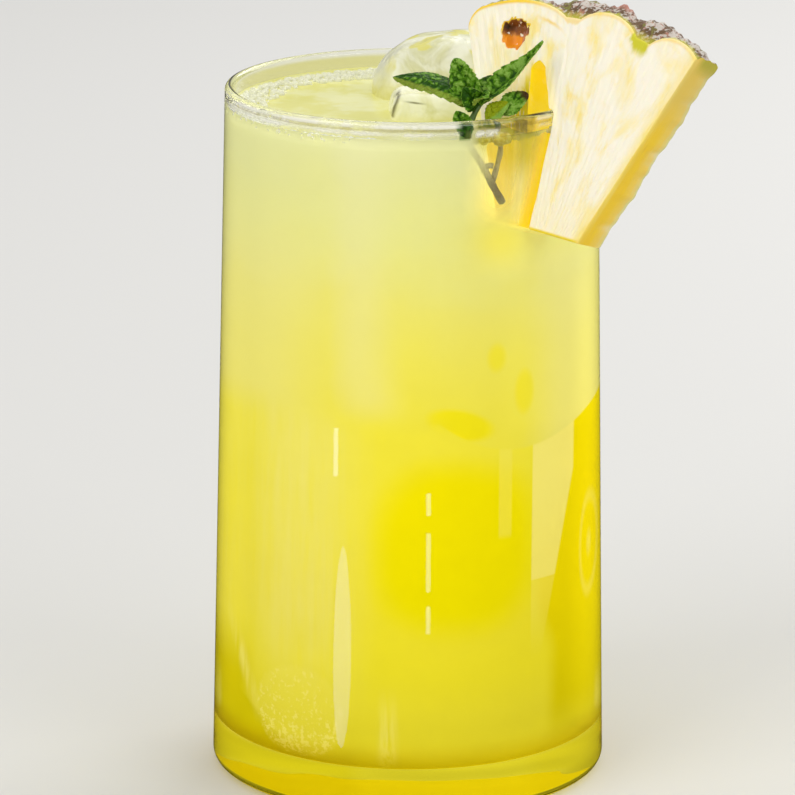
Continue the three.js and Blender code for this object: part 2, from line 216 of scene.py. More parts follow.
class Shader:
    """The node tree of one material."""

    MIX_INPUTS = (0, 6, 7)
    MIX_OUTPUT = 2

    def __init__(self, name: str) -> None:
        """Starts an empty material.

        Args:
            name: The material's name.
        """
        self.result = bpy.data.materials.new(name)
        self.result.use_nodes = True
        self.tree = self.result.node_tree
        self.tree.nodes.clear()
        self.coordinates: Node | None = None

    def add(self, kind: str, settings: dict[str, Any], sockets: dict[Any, Any]) -> Node:
        """Makes a node.

        Args:
            kind: The node's type.
            settings: Its settings. A ramp's stops are a list of places and colours.
            sockets: The values or links of its inputs, by name or number.

        Returns:
            The node.
        """
        node = self.tree.nodes.new(kind)
        for name, setting in settings.items():
            if name == "stops":
                self._set_stops(node, setting)
            else:
                setattr(node, name, setting)
        for name, given in sockets.items():
            if isinstance(given, Value):
                given = given.socket
            if isinstance(given, NodeSocket):
                self.tree.links.new(given, node.inputs[name])
            else:
                node.inputs[name].default_value = given
        return node

    @staticmethod
    def _set_stops(node: Node, stops: Sequence[tuple[float, Colour]]) -> None:
        """Puts a ramp's stops in place of the ones that it comes with.

        Args:
            node: The ramp.
            stops: Its stops, lowest first.
        """
        elements = node.color_ramp.elements
        while len(elements) < len(stops):
            elements.new(1.0)
        for element, (position, shade) in zip(elements, stops):
            element.position = position
            element.color = (*shade, 1.0)

    def places(self) -> NodeSocket:
        """Object coordinates, worked out once.

        Returns:
            Their vector, in millimetres.
        """
        if self.coordinates is None:
            source = self.add("ShaderNodeTexCoord", {}, {})
            self.coordinates = self.add(
                "ShaderNodeVectorMath",
                {"operation": "SCALE"},
                {0: source.outputs["Object"], "Scale": 1 / MM},
            )
        return self.coordinates.outputs[0]

    @property
    def xyz(self) -> tuple[Value, Value, Value]:
        """The three object coordinates, in millimetres."""
        return self.parts(self.places())

    def turned_into(self, matrix: Matrix, origin: Sequence[float]) -> NodeSocket:
        """Object coordinates read in the frame of a turned piece.

        Args:
            matrix: The turn from that frame into the part's frame.
            origin: That frame's origin, in millimetres.

        Returns:
            The vector socket of the coordinates in that frame.
        """
        turn = matrix.to_euler("XYZ")
        sockets = {"Vector": self.places(), "Location": tuple(origin), "Rotation": tuple(turn)}
        node = self.add("ShaderNodeMapping", {"vector_type": "TEXTURE"}, sockets)
        return node.outputs[0]

    def parts(self, vector: NodeSocket) -> tuple[Value, Value, Value]:
        """The three numbers of a vector."""
        node = self.add("ShaderNodeSeparateXYZ", {}, {0: vector})
        return tuple(Value(self, output) for output in node.outputs)

    def vector(self, x: Any, y: Any, z: Any) -> NodeSocket:
        """A vector of three numbers."""
        return self.add("ShaderNodeCombineXYZ", {}, {0: x, 1: y, 2: z}).outputs[0]

    def mark(self, name: str) -> tuple[Value, Value, Value]:
        """The three numbers that the mesh carries under a name."""
        node = self.add("ShaderNodeAttribute", {"attribute_name": name}, {})
        return self.parts(node.outputs["Vector"])

    def noise(self, vector: NodeSocket, scale: float, detail: float = 3.0,
              roughness: float = 0.5, distortion: float = 0.0) -> Value:
        """Cloudy noise from 0 to 1.

        Args:
            vector: Where it is read.
            scale: Clouds for each unit of the vector.
            detail: Octaves.
            roughness: The weight of the finer ones.
            distortion: How much it swirls.

        Returns:
            The noise.
        """
        sockets = {"Vector": vector, "Scale": scale, "Detail": detail, "Roughness": roughness,
                   "Distortion": distortion}
        return Value(self, self.add("ShaderNodeTexNoise", {}, sockets).outputs[0])

    def cells(self, vector: NodeSocket, scale: float) -> Value:
        """The distance to the nearest of scattered points, for each unit of the vector."""
        sockets = {"Vector": vector, "Scale": scale}
        return Value(self, self.add("ShaderNodeTexVoronoi", {}, sockets).outputs["Distance"])

    def blend(self, factor: Any, first: Any, second: Any) -> NodeSocket:
        """One colour going over into another.

        Args:
            factor: How much of the second shows, from 0 to 1.
            first: A colour or a colour socket.
            second: A colour or a colour socket.

        Returns:
            The mixed colour.
        """
        sockets = {self.MIX_INPUTS[0]: factor}
        for number, shade in zip(self.MIX_INPUTS[1:], (first, second)):
            sockets[number] = (*shade, 1.0) if isinstance(shade, tuple) else shade
        node = self.add("ShaderNodeMix", {"data_type": "RGBA", "clamp_factor": True}, sockets)
        return node.outputs[self.MIX_OUTPUT]

    def painted(self, below: Any, *layers: tuple[Any, Any]) -> NodeSocket:
        """A colour with further ones laid over it in order.

        Args:
            below: A colour or a colour socket.
            layers: For each, how much of it shows and its colour.

        Returns:
            The colour on top.
        """
        for factor, shade in layers:
            below = self.blend(factor, below, shade)
        return below

    def ramp(self, value: Value, stops: Stops) -> NodeSocket:
        """A colour that follows a value through stops."""
        return self.add("ShaderNodeValToRGB", {"stops": stops}, {0: value}).outputs[0]

    def bump(self, height: Value, depth: float) -> NodeSocket:
        """A normal tilted by fine relief, of a height from 0 to 1 and a depth in millimetres."""
        sockets = {"Strength": 1.0, "Distance": depth * MM, "Height": height}
        return self.add("ShaderNodeBump", {}, sockets).outputs[0]

    def principled(self, sockets: dict[str, Any]) -> NodeSocket:
        """The main surface shader, with colours given as three values.

        Args:
            sockets: What each socket is given.

        Returns:
            The surface.
        """
        full = dict(sockets)
        for name, given in sockets.items():
            if "Color" in name and isinstance(given, tuple):
                full[name] = (*given, 1.0)
        return self.add("ShaderNodeBsdfPrincipled", {}, full).outputs[0]

    def clear(self, tint: Colour = WHITE) -> NodeSocket:
        """A surface that light goes straight through."""
        return self.add("ShaderNodeBsdfTransparent", {}, {"Color": (*tint, 1.0)}).outputs[0]

    def either(self, factor: Any, first: NodeSocket, second: NodeSocket) -> NodeSocket:
        """One surface mixed with another, by the share of the second."""
        return self.add("ShaderNodeMixShader", {}, {0: factor, 1: first, 2: second}).outputs[0]

    def lets_lamps_through(self, surface: NodeSocket, tint: Colour) -> NodeSocket:
        """A clear solid's surface, which casts only a faint shadow of its tint."""
        path = self.add("ShaderNodeLightPath", {}, {})
        return self.either(path.outputs["Is Shadow Ray"], surface, self.clear(tint))

    def finished(self, surface: NodeSocket | dict[str, Any]) -> Material:
        """The material with a surface as its output, or the main one with given sockets.

        Args:
            surface: The surface, or what the main one's sockets are given.

        Returns:
            The material.
        """
        if isinstance(surface, dict):
            surface = self.principled(surface)
        self.add("ShaderNodeOutputMaterial", {}, {"Surface": surface})
        return self.result


# Meshes from arrays


@dataclass
class Patch:
    """A surface being worked out: points in millimetres, quads between them, marks and finish."""

    points: Array
    quads: Array
    marks: dict[str, Array] = field(default_factory=dict)
    finish: int | Array = 0

    def __post_init__(self) -> None:
        """Lays points and marks out one row a point."""
        self.points = self.points.reshape(-1, 3)
        self.marks = {name: values.reshape(-1, 3) for name, values in self.marks.items()}

    def moved(self, matrix: Matrix, origin: Sequence[float]) -> "Patch":
        """The patch turned and then moved."""
        turned = self.points @ np.array(matrix).T + np.array(origin)
        return Patch(turned, self.quads, self.marks, self.finish)

    def finishes(self) -> Array:
        """The number of each quad's material."""
        return np.broadcast_to(self.finish, len(self.quads))


def grid_quads(rows: int, columns: int, ring: bool = False) -> Array:
    """The quads of a grid whose points are numbered row by row.

    Args:
        rows: Points down.
        columns: Points across.
        ring: True where the last column joins the first.

    Returns:
        Four point numbers a quad.
    """
    across = columns if ring else columns - 1
    row, column = np.meshgrid(np.arange(rows - 1), np.arange(across), indexing="ij")
    following = (column + 1) % columns
    corners = [row * columns + column, row * columns + following,
               (row + 1) * columns + following, (row + 1) * columns + column]
    return np.stack(corners, axis=-1).reshape(-1, 4)


def joined(patches: Sequence[Patch]) -> Patch:
    """Several patches as one, with the marks that the first has.

    Args:
        patches: The patches, in order.

    Returns:
        The one patch.
    """
    starts = np.cumsum([0, *(len(patch.points) for patch in patches[:-1])])
    points = np.concatenate([patch.points for patch in patches])
    quads = np.concatenate([patch.quads + start for patch, start in zip(patches, starts)])
    names = patches[0].marks
    marks = {name: np.concatenate([patch.marks[name] for patch in patches]) for name in names}
    return Patch(points, quads, marks, np.concatenate([patch.finishes() for patch in patches]))


def arc(middle: Pair, radius: float, start: float, end: float, steps: int) -> Array:
    """Points along an arc, both ends included.

    Args:
        middle: The arc's middle.
        radius: Its radius.
        start: First angle.
        end: Last angle.
        steps: Steps between them.

    Returns:
        One row a point.
    """
    angle = np.radians(np.linspace(start, end, steps + 1))
    return np.stack([middle[0] + radius * np.cos(angle), middle[1] + radius * np.sin(angle)], axis=-1)


def line(start: Sequence[float], end: Sequence[float], steps: int) -> Array:
    """Points along a straight line, without its last one."""
    share = np.linspace(0, 1, steps, endpoint=False)[:, None]
    return np.array(start) * (1 - share) + np.array(end) * share


def lathe(profile: Array, turns: int) -> Patch:
    """A profile of radius and height turned round the vertical axis.

    Args:
        profile: One row a point, radius and height.
        turns: Points round the axis.

    Returns:
        The surface: each profile point is carried round a circle of its own radius.
    """
    angle = np.linspace(0, 2 * np.pi, turns, endpoint=False)
    radius, height = profile[:, 0, None], profile[:, 1, None]
    points = np.stack([radius * np.cos(angle), radius * np.sin(angle), height + 0 * angle], axis=-1)
    return Patch(points, grid_quads(len(profile), turns, ring=True))


def smooth_route(route: Sequence[Sequence[float]], steps: int) -> Array:
    """Points along a smooth curve through a route's points.

    Args:
        route: The points that it goes through.
        steps: Points in all.

    Returns:
        A Catmull-Rom curve: between two points it is the cubic whose slope at each is half the
        way between the point before and the point after.
    """
    given = np.array(route, float)
    padded = np.concatenate([[2 * given[0] - given[1]], given, [2 * given[-1] - given[-2]]])
    place = np.linspace(0, len(given) - 1, steps)
    index = np.minimum(place.astype(int), len(given) - 2)
    t = (place - index)[:, None]
    before, start, end, after = (padded[index + k] for k in range(4))
    return start + 0.5 * t * (
        end - before
        + t * (2 * before - 5 * start + 4 * end - after + t * (3 * (start - end) + after - before))
    )


def tube(route: Sequence[Sequence[float]], radii: Array, sides: int = 12) -> Patch:
    """A round stem along a smooth route, closed at both ends.

    Args:
        route: The points that it goes through.
        radii: Its radius at each step along it.
        sides: Points round it.

    Returns:
        The surface: a circle of each radius in the plane across the route.
    """
    middles = smooth_route(route, len(radii))
    along = np.gradient(middles, axis=0)
    along /= np.linalg.norm(along, axis=1, keepdims=True)
    across = np.cross(along, [0.0, 1.0, 0.12])
    across /= np.linalg.norm(across, axis=1, keepdims=True)
    other = np.cross(along, across)
    angle = np.linspace(0, 2 * np.pi, sides, endpoint=False)
    ring = across[:, None] * np.cos(angle)[None, :, None] + other[:, None] * np.sin(angle)[None, :, None]
    closed = np.concatenate([[0.0], radii[1:-1], [0.0]])
    points = middles[:, None] + ring * closed[:, None, None]
    return Patch(points, grid_quads(len(radii), sides, ring=True))


def round_box(half: Sequence[float], roundness: float, steps: int,
              swell: Callable[[Array], Array]) -> Patch:
    """A rounded box, one grid a side, each point pushed out along its own direction.

    Args:
        half: Half sizes.
        roundness: 2 is a ball, and a higher number is boxier.
        steps: Quads along a side.
        swell: Gives the share by which each unit direction's distance grows.

    Returns:
        The surface: direction over the sum of its parts' powers to one over the roundness.
    """
    share = np.tan(np.linspace(-np.pi / 4, np.pi / 4, steps + 1))
    first, second = np.meshgrid(share, share, indexing="ij")
    sides = []
    for axis in range(3):
        for sign in (-1.0, 1.0):
            side = np.empty((*first.shape, 3))
            side[..., axis] = sign
            side[..., (axis + 1) % 3] = first
            side[..., (axis + 2) % 3] = second
            sides.append(Patch(side, grid_quads(steps + 1, steps + 1)))
    box = joined(sides)
    unit = box.points / np.linalg.norm(box.points, axis=1, keepdims=True)
    reach = np.sum(np.abs(unit) ** roundness, axis=1) ** (-1 / roundness) * (1 + swell(unit))
    return Patch(unit * reach[:, None] * np.array(half), box.quads)


def pebble(rings: int, sides: int) -> Patch:
    """A small ball of few faces, 1 in radius, with its poles welded shut later."""
    angle = np.linspace(-np.pi / 2, np.pi / 2, rings + 1)
    return lathe(np.stack([np.cos(angle) * (np.abs(angle) < 1.57), np.sin(angle)], axis=-1), sides)


def scattered(shape: Patch, middles: Array, radii: Array) -> Patch:
    """Copies of a small shape, one at each middle and of its own radius.

    Args:
        shape: The shape, with a radius of 1.
        middles: Where the copies stand.
        radii: Their radii.

    Returns:
        All the copies.
    """
    count = len(shape.points)
    points = middles[:, None] + shape.points[None] * radii[:, None, None]
    starts = np.arange(len(middles))[:, None, None] * count
    return Patch(points, (shape.quads[None] + starts).reshape(-1, 4))


def placed(name: str, data: bpy.types.ID) -> Object:
    """Puts a mesh, a lamp or a camera into the scene.

    Args:
        name: The new object's name.
        data: Its mesh, lamp or camera.

    Returns:
        The new object.
    """
    thing = bpy.data.objects.new(name, data)
    bpy.context.scene.collection.objects.link(thing)
    return thing


def write_mark(mesh: Mesh, name: str, values: Array) -> None:
    """Puts three numbers a point into a mesh under a name."""
    layer = mesh.attributes.new(name, "FLOAT_VECTOR", "POINT")
    layer.data.foreach_set("vector", values.astype(np.float32).ravel())


def mesh_from(name: str, patch: Patch, weld: float = 0.002) -> Mesh:
    """A closed mesh in metres, welded and with its faces pointing out.

    Args:
        name: The mesh's name.
        patch: The surface in millimetres.
        weld: How near points are one, in millimetres.

    Returns:
        The mesh.
    """
    mesh = bpy.data.meshes.new(name)
    mesh.from_pydata((patch.points * MM).tolist(), [], patch.quads.tolist())
    mesh.polygons.foreach_set("material_index", patch.finishes().astype(np.int32))
    for mark, values in patch.marks.items():
        write_mark(mesh, mark, values)
    work = bmesh.new()
    work.from_mesh(mesh)
    bmesh.ops.remove_doubles(work, verts=work.verts, dist=weld * MM)
    bmesh.ops.recalc_face_normals(work, faces=work.faces)
    work.to_mesh(mesh)
    work.free()
    return mesh


def piece_from(name: str, patch: Patch, materials: Sequence[Material],
               crease: float = 180.0, weld: float = 0.002) -> Object:
    """A finished piece that stands in the part's frame.

    Args:
        name: The piece's name.
        patch: Its surface in millimetres.
        materials: Its materials.
        crease: Edges sharper than this angle stay sharp.
        weld: How near points are one, in millimetres.

    Returns:
        The object, riding on the part's body.
    """
    mesh = mesh_from(name, patch, weld)
    for material in materials:
        mesh.materials.append(material)
    mesh.shade_smooth()
    if crease < 180.0:
        mesh.set_sharp_from_angle(angle=np.radians(crease))
    piece = placed(name, mesh)
    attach(piece, BODY)
    mesh.calc_loop_triangles()
    log.info("%s: %d triangles", name, len(mesh.loop_triangles))
    return piece


def turn_of(x: float, y: float, z: float) -> Matrix:
    """A turn about X, of a turn about Y, of a turn about Z."""
    turns = [Matrix.Rotation(np.radians(angle), 3, axis) for angle, axis in zip((x, y, z), "XYZ")]
    return turns[0] @ turns[1] @ turns[2]


def round_off(share: Array) -> Array:
    """A quarter round: the root of 1 less the square of a share, 1 at 0 and 0 from 1 on."""
    return np.sqrt(np.clip(1 - share**2, 0, None))


# The tumbler


@dataclass
class Tumbler:
    """A straight-walled glass that narrows a little to its rim, on a thick base."""

    height: float
    base_radius: float
    rim_radius: float = 34.4
    wall: float = 1.8
    base_thickness: float = 8.0
    foot_round: float = 2.2
    floor_round: float = 6.0
    turns: int = 256

    def outer_radius(self, height: float) -> float:
        """The wall's outer radius at a height."""
        return self.base_radius + (self.rim_radius - self.base_radius) * height / self.height

    def middle_radius(self, height: float) -> float:
        """The radius of the middle of the wall at a height."""
        return self.outer_radius(height) - self.wall / 2

    def inner_radius(self, height: float) -> float:
        """The wall's inner radius at a height."""
        return self.outer_radius(height) - self.wall

    def cavity(self, top: float, reach: float) -> Array:
        """The cavity's profile from the wall down to the axis.

        Args:
            top: The height where it starts.
            reach: How far it lies inside the glass.

        Returns:
            Radius and height, one row a point.
        """
        corner_z = self.base_thickness + self.floor_round
        corner_r = self.inner_radius(corner_z) - self.floor_round
        corner = arc((corner_r, corner_z), self.floor_round + reach, 0, -90, 14)
        start = (self.inner_radius(top) + reach, top)
        floor = line(corner[-1], (0.0, self.base_thickness - reach), 12)[1:]
        pole = [[0.0, self.base_thickness - reach]]
        return np.concatenate([line(start, corner[0], 48), corner, floor, pole])

    def build(self) -> Object:
        """The glass: foot, outer wall, half round rim, inner wall and floor, turned round.

        Returns:
            The piece.
        """
        lip = self.wall / 2
        lip_z = self.height - lip
        foot = arc((self.base_radius - self.foot_round, self.foot_round), self.foot_round, -90, 0, 10)
        underside = line((0.0, 0.0), foot[0], 8)
        rim = arc((self.outer_radius(lip_z) - lip, lip_z), lip, 0, 180, 16)
        outside = line(foot[-1], rim[0], 48)[1:]
        profile = np.concatenate([underside, foot, outside, rim, self.cavity(lip_z, 0.0)[1:]])
        finish = ClearGlass(self.base_thickness).material()
        piece = piece_from("tumbler", lathe(profile, self.turns), [finish])
        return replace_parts(piece, "glass")


class ClearGlass(Shader):
    """Polished clear glass, wet and frothy just above the drink, with a painted highlight and painted
    refraction on its lip, and lit gold through its base.
    """

    tint: Colour = (0.985, 0.995, 0.985)
    # the white of the painted lip highlight and of dried froth
    froth: Colour = colour(240, 238, 226)
    # colours of the painted refraction in the lip
    dusk: Colour = (0.5, 0.44, 0.42)
    leafy: Colour = (0.06, 0.2, 0.012)
    olive: Colour = (0.36, 0.31, 0.02)
    wet: Colour = (0.86, 0.83, 0.38)
    gold: Colour = (1.0, 0.87, 0.03)
    deep: Colour = (0.88, 0.74, 0.006)
    shadow: Colour = (0.95, 0.96, 0.95)
    bend: float = 1.5
    wet_top: float = 129.4

    def __init__(self, base_top: float) -> None:
        """Starts the material.

        Args:
            base_top: The height where the glass's base ends.
        """
        super().__init__("clear_glass")
        self.base_top = base_top
        x, y, z = self.xyz
        self.drift = self.noise(self.vector(x, y, z * 0.4), 0.16, 3.0, 0.6)
        self.grain = self.noise(self.vector(x, y, z), 1.1, 2.0)
        self.front = y.rise(2.0, -8.0)

    def material(self) -> Material:
        """Clear glass with a trace of waviness from drawing, white where the painted lip highlight and
        dried froth lie.

        Returns:
            The material.
        """
        x, y, z = self.xyz
        wave = self.noise(self.vector(x, y, z * 0.25), 0.05, 1.0)
        surface = self.principled({
            "Base Color": self.painted(self.tint, *self.wall_layers(), *self.painted_lip_refraction()),
            "Roughness": wave * 0.01 + 0.004,
            "IOR": self.bend,
            "Transmission Weight": 1.0,
            "Normal": self.bump(wave, 0.25),
        })
        milk = self.principled({"Base Color": self.froth, "Roughness": 0.25})
        shown = self.lip_highlight_and_froth() * self.front
        return self.finished(self.lets_lamps_through(self.either(shown, surface, milk), self.shadow))

    def wall_layers(self) -> Layers:
        """Gold light in the base, deeper at both ends, and a wet film at the back.

        Returns:
            The layers, lowest first.
        """
        x, y, z = self.xyz
        ends = x.rise(-7.0, -12.0).above(x.rise(20.0, 26.0) * 0.6)
        base = z.rise(self.base_top + 7.0, self.base_top + 1.0)
        film = z.rise(LEVEL - 0.4, LEVEL) * z.rise(self.wet_top, self.wet_top - 0.9) * y.rise(-6.0, 12.0)
        return [(base, self.blend(ends, self.gold, self.deep)), (film, self.wet)]

    def painted_lip_refraction(self) -> Layers:
        """Painted refraction of what lies behind the lip: a dusky line, an olive shade of the leaves on
        the right, and a green leaf that froth crosses.

        Returns:
            The layers, lowest first.
        """
        x, _, z = self.xyz
        drift, grain, front = self.drift, self.grain, self.front
        low_lip = z.rise(126.4, 127.0) * z.rise(129.7, 129.3)
        line = (z + (drift - 0.5) * 0.5).hump(128.5, 0.32) * drift.rise(0.36, 0.5)
        shade = x.hump(20.0, 2.6).rise(0.1, 0.4) * (grain.rise(0.7, 0.3) * 0.5 + 0.5)
        leaf = (x + (drift - 0.5) * 2).hump(9.6, 1.5).rise(0.1, 0.5)
        vein = x.hump(13.6, 2.8).rise(0.1, 0.5) * z.hump(128.9, 0.55) * grain.rise(0.3, 0.55)
        return [
            (line * front * 0.9, self.dusk),
            (shade * low_lip * front * 0.9, self.olive),
            ((leaf * low_lip).above(vein) * front * 0.9, self.leafy),
        ]

    def lip_highlight_and_froth(self) -> Value:
        """How much white hides the lip: a bright painted highlight along it, a paler ragged band of froth
        below it, and specks of froth down to the drink on the left.

        Returns:
            The share, 0 to 1.
        """
        x, _, z = self.xyz
        drift, grain = self.drift, self.grain
        # a painted highlight along the lip, and a ragged band of froth below it
        lip = z.hump(129.2, 0.6) * (drift.rise(0.4, 0.56) * 0.65 + 0.3)
        band = (z + (grain - 0.5) * 0.6).hump(127.8, 0.55) * (drift.rise(0.6, 0.42) * 0.5 + 0.25)
        bright = lip.above(band) * (x.rise(9.5, 7.5) + x.rise(22.0, 23.0) * 0.6)
        specks = z.hump(126.6, 1.0) * grain.rise(0.56, 0.66) * x.rise(-8.0, -14.0) * 0.7
        behind = x.hump(13.4, 3.0).rise(0.1, 0.5) * z.hump(127.6, 0.9) * grain.rise(0.3, 0.55) * 0.75
        return bright.above(specks).above(behind)


# Where the slice hangs


@dataclass(frozen=True)
class SliceFrame:
    """The frame of the slice: local X out of the glass, Y through the slice and Z to its rind."""

    tumbler: Tumbler
    bearing: float = 44.0
    lean: float = 17.3
    tip_in: float = 6.0
    hang_depth: float = 14.4
    apex_drop: float = 28.3
    tip_tilt: float = 9.0

    def turn(self) -> Matrix:
        """The turn from the slice's frame into the part's.

        Returns:
            A turn about the vertical by the bearing, of the lean, of the tip's turn inward.
        """
        return (Matrix.Rotation(np.radians(-self.bearing), 3, "Z")
                @ Matrix.Rotation(np.radians(-self.lean), 3, "X")
                @ Matrix.Rotation(np.radians(-self.tip_in), 3, "Y"))

    def origin(self) -> Vector:
        """The apex of the slice: below the middle of the wall that it hangs on.

        Returns:
            The apex, in millimetres.
        """
        height = self.tumbler.height - self.hang_depth
        radius = self.tumbler.middle_radius(height)
        bearing = np.radians(-self.bearing)
        hang = Vector((radius * np.cos(bearing), radius * np.sin(bearing), height))
        return hang - self.turn() @ Vector((0, 0, self.apex_drop))

    def coordinates(self, shader: Shader) -> NodeSocket:
        """Object coordinates read in the slice's frame."""
        return shader.turned_into(self.turn(), self.origin())

    def along(self, p: Value, q: Value) -> Value:
        """How far a place lies from the apex, square to the tilted cut of the tip."""
        tilt = np.radians(self.tip_tilt)
        return q * float(np.cos(tilt)) + p * float(np.sin(tilt))


# The drink


class DrinkLayer(Enum):
    """The drink against the glass, and the body behind it that the eye can't see past."""

    SKIN = "cloudy_drink"
    CORE = "cloudy_core"


class CloudyDrink(Shader):
    """Cloudy pineapple lemonade: a pale upper layer, partly painted reflection, a full yellow heart below
    and a foot darkened in painted shade.
    """

    # heights and colours of the two layers and of the golden right edge
    # the upper layer's paleness is partly painted reflection; the darkening towards the foot is painted
    # shade
    upper: Heights = ((66, 241, 229, 70), (76, 240, 229, 84), (86, 240, 230, 98), (98, 238, 230, 120),
                      (110, 234, 231, 150), (124, 230, 229, 168))
    lower: Heights = ((4, 214, 200, 14), (12, 225, 211, 44), (20, 231, 218, 50), (28, 236, 223, 46),
                      (40, 238, 224, 50), (55, 241, 228, 55), (70, 242, 230, 68))
    golden: Heights = ((12, 214, 198, 6), (30, 229, 211, 2), (42, 238, 218, 1), (70, 243, 222, 1))
    heart_top: Colour = colour(243, 228, 2)
    heart_foot: Colour = colour(238, 224, 1)
    # the tone of the painted reflections
    pale: Colour = colour(248, 236, 128)
    milky: Colour = colour(238, 234, 190)
    # the colour of the painted shadow in the bottom-left corner
    corner: Colour = colour(216, 200, 6)
    olive: Colour = colour(182, 172, 6)
    fruity: Colour = colour(243, 226, 60)
    top: Colour = colour(206, 203, 122)
    top_pale: Colour = colour(214, 213, 158)
    half_slice: float = 3.35
    sight: float = 3.2
    glow: float = 0.9
    inner_light: float = 0.14
    core_light: float = 0.6

    def __init__(self, layer: DrinkLayer, place: SliceFrame) -> None:
        """Starts the material, with soft clouds and upright streaks.

        Args:
            layer: Which layer of the drink it is.
            place: The slice's frame.
        """
        super().__init__(layer.value)
        self.layer = layer
        self.place = place
        self.clouds = self.noise(self.places(), 0.035, 3.0, 0.5, 0.4)
        x, y, z = self.xyz
        self.streaks = self.noise(self.vector(x * 0.5, y * 0.5, z * 0.05), 1.0, 3.0, 0.6)

    def scatter(self, tone: NodeSocket) -> NodeSocket:
        """The light that the drink passes on from within.

        Args:
            tone: The drink's colour.

        Returns:
            A share of the colour: more at the sides and under the floor, where light comes through
            from behind, a painted glow below the slice that lifts its shadow, and most in the body
            behind the clear drink about the stems.
        """
        if self.layer is DrinkLayer.CORE:
            return self.blend(self.core_light, BLACK, tone)
        x, _, z = self.xyz
        sides = x.rise(27.5, 33.5) * 0.26 + x.rise(-27.5, -33.5) * 0.15
        sides = sides + x.rise(14.0, 20.0) * z.rise(68.0, 74.0) * z.rise(106.0, 98.0) * 0.05
        under = z.rise(8.6, 7.8) * 0.45 + z.rise(17.0, 9.5) * 0.16
        # a painted glow below the slice, lifting the shadow that it casts on the drink
        painted_glow_below_slice = spot(x, z, (22, 106.5), (13, 9)) * 0.26
        return self.blend(sides.above(under) + painted_glow_below_slice + self.inner_light, BLACK, tone)

    def by_height(self, height: Value, stops: Heights) -> NodeSocket:
        """The colour between stops that are given by height."""
        return self.ramp(height / LEVEL, [(place / LEVEL, colour(*shade)) for place, *shade in stops])

    def upper_tone(self) -> NodeSocket:
        """The pale layer, partly painted reflection: yellower with depth, a milky plume on the left and
        three fuller patches, painted shadows of sunk ice.

        Returns:
            The colour.
        """
        x, y, z = self.xyz
        drift = self.clouds - 0.5
        tone = self.by_height(z + drift * 26, self.upper)
        plume = (x + 9 + drift * 12).hump(0, 9) * z.rise(72, 80) * 0.3
        left = x.rise(-8, -26) * z.rise(124, 100) * 0.25
        right = x.rise(19, 28) * z.rise(110, 100) * 0.3
        # the three fuller patches are painted shadows of sunk ice
        swell = oval(x + (z - 74) * 0.8, z, (9, 74), (5.5, 3.2)).rise(1.3, 0.5)
        tall = oval(x, z, (20.4, 79), (1.6, 4)).rise(1.6, 0.4)
        small = oval(x, z, (15.4, 86), (1.5, 2.4)).rise(2.0, 0.2)
        patch = swell.above(tall.above(small) * 0.7) * y.rise(0, -10)
        return self.painted(
            tone,
            (plume.above(left).above(right), self.milky),
            (patch * 0.85, self.heart_top),
        )

    def lower_tone(self) -> NodeSocket:
        """The full layer: a saturated heart, a golden right edge, paler on the left, and painted shadow
        in the bottom-left corner.

        Returns:
            The colour.
        """
        x, y, z = self.xyz
        drift = self.clouds - 0.5
        left = x.rise(-4, -18) * z.rise(14, 40) * (1 - x.rise(-23, -29) * 0.6)
        # painted shadow: the bottom-left corner and an arc over the foot on the left
        above_foot = z - 8.5 - (x + 12) * (x + 12) * 0.032
        foot = above_foot.rise(0.9, -0.9) * x.rise(-8, -14)
        ball = oval(x, z + drift * 6, (8.4, 50.8), (17.2, 18.2), 3)
        edge = (x + drift * 2 - z.rise(40, 28) * 3).rise(21.5, 24.5) * z.rise(6, 20)
        heart = self.blend(z.rise(62, 36), self.heart_top, self.heart_foot)
        return self.painted(
            self.by_height(z + drift * 10, self.lower),
            (left * (self.streaks * 0.35 + 0.04), self.milky),
            ((x.rise(-27, -31) * z.rise(34, 20)).above(foot), self.corner),
            (ball.rise(1.0, 0.2) * y.rise(0, -10), heart),
            (edge, self.by_height(z, self.golden)),
            (self.gleams(), self.pale),
        )

    def gleams(self) -> Value:
        """Painted reflections: light caught in the drink against the glass.

        Returns:
            The share of the pale tone: as painted reflection, a tapering strip on the right with a faint
            one beside it and below it, a thin ring at the right edge, and low down two streaks and a
            gleam along both sides; and low down on the left, a speckled patch.
        """
        x, y, z = self.xyz
        streaks = self.streaks
        right_edge = x + (62 - z).above(0.0) * 0.161
        strip = x.rise(21.9, 22.2) * right_edge.rise(29.5, 29.1)
        main = strip * z.rise(42.6, 43.2) * (1 - z.rise(62, 45) * 0.15)
        tail = strip * z.rise(26, 42) * 0.25
        second = x.hump(17.2, 1.7).rise(0.1, 0.4) * z.rise(51.5, 53) * 0.25
        away = oval(x, z, (32.3, 46), (1.5, 9)).root()
        ring = away.hump(1.0, 0.24) * 0.24 + away.rise(0.4, 0.05) * 0.35
        fine = self.noise(self.places(), 0.9, 3.0, 0.7)
        # specks of the patch low on the left
        bubbles = (fine + z.rise(22, 12) * 0.08).rise(0.56, 0.66) * 0.5 + 0.12
        patch = oval(x, z, (-19.5, 18), (8, 9)).root().rise(1.05, 0.9) * bubbles
        low = spot(x, z, (-3.6, 15), (2.6, 11)) * streaks.rise(0.35, 0.6) * 0.6
        side = x.size().rise(33.5, 34.3) * z.hump(14, 8) * 0.35
        slant = (x + 29.5 + (z - 24) * 0.28).hump(0, 1.6) * z.hump(24, 12) * streaks.rise(0.3, 0.6) * 0.6
        brightest = main
        for other in (tail, second, ring, patch, low, side, slant):
            brightest = brightest.above(other)
        return brightest * y.rise(0, -10)

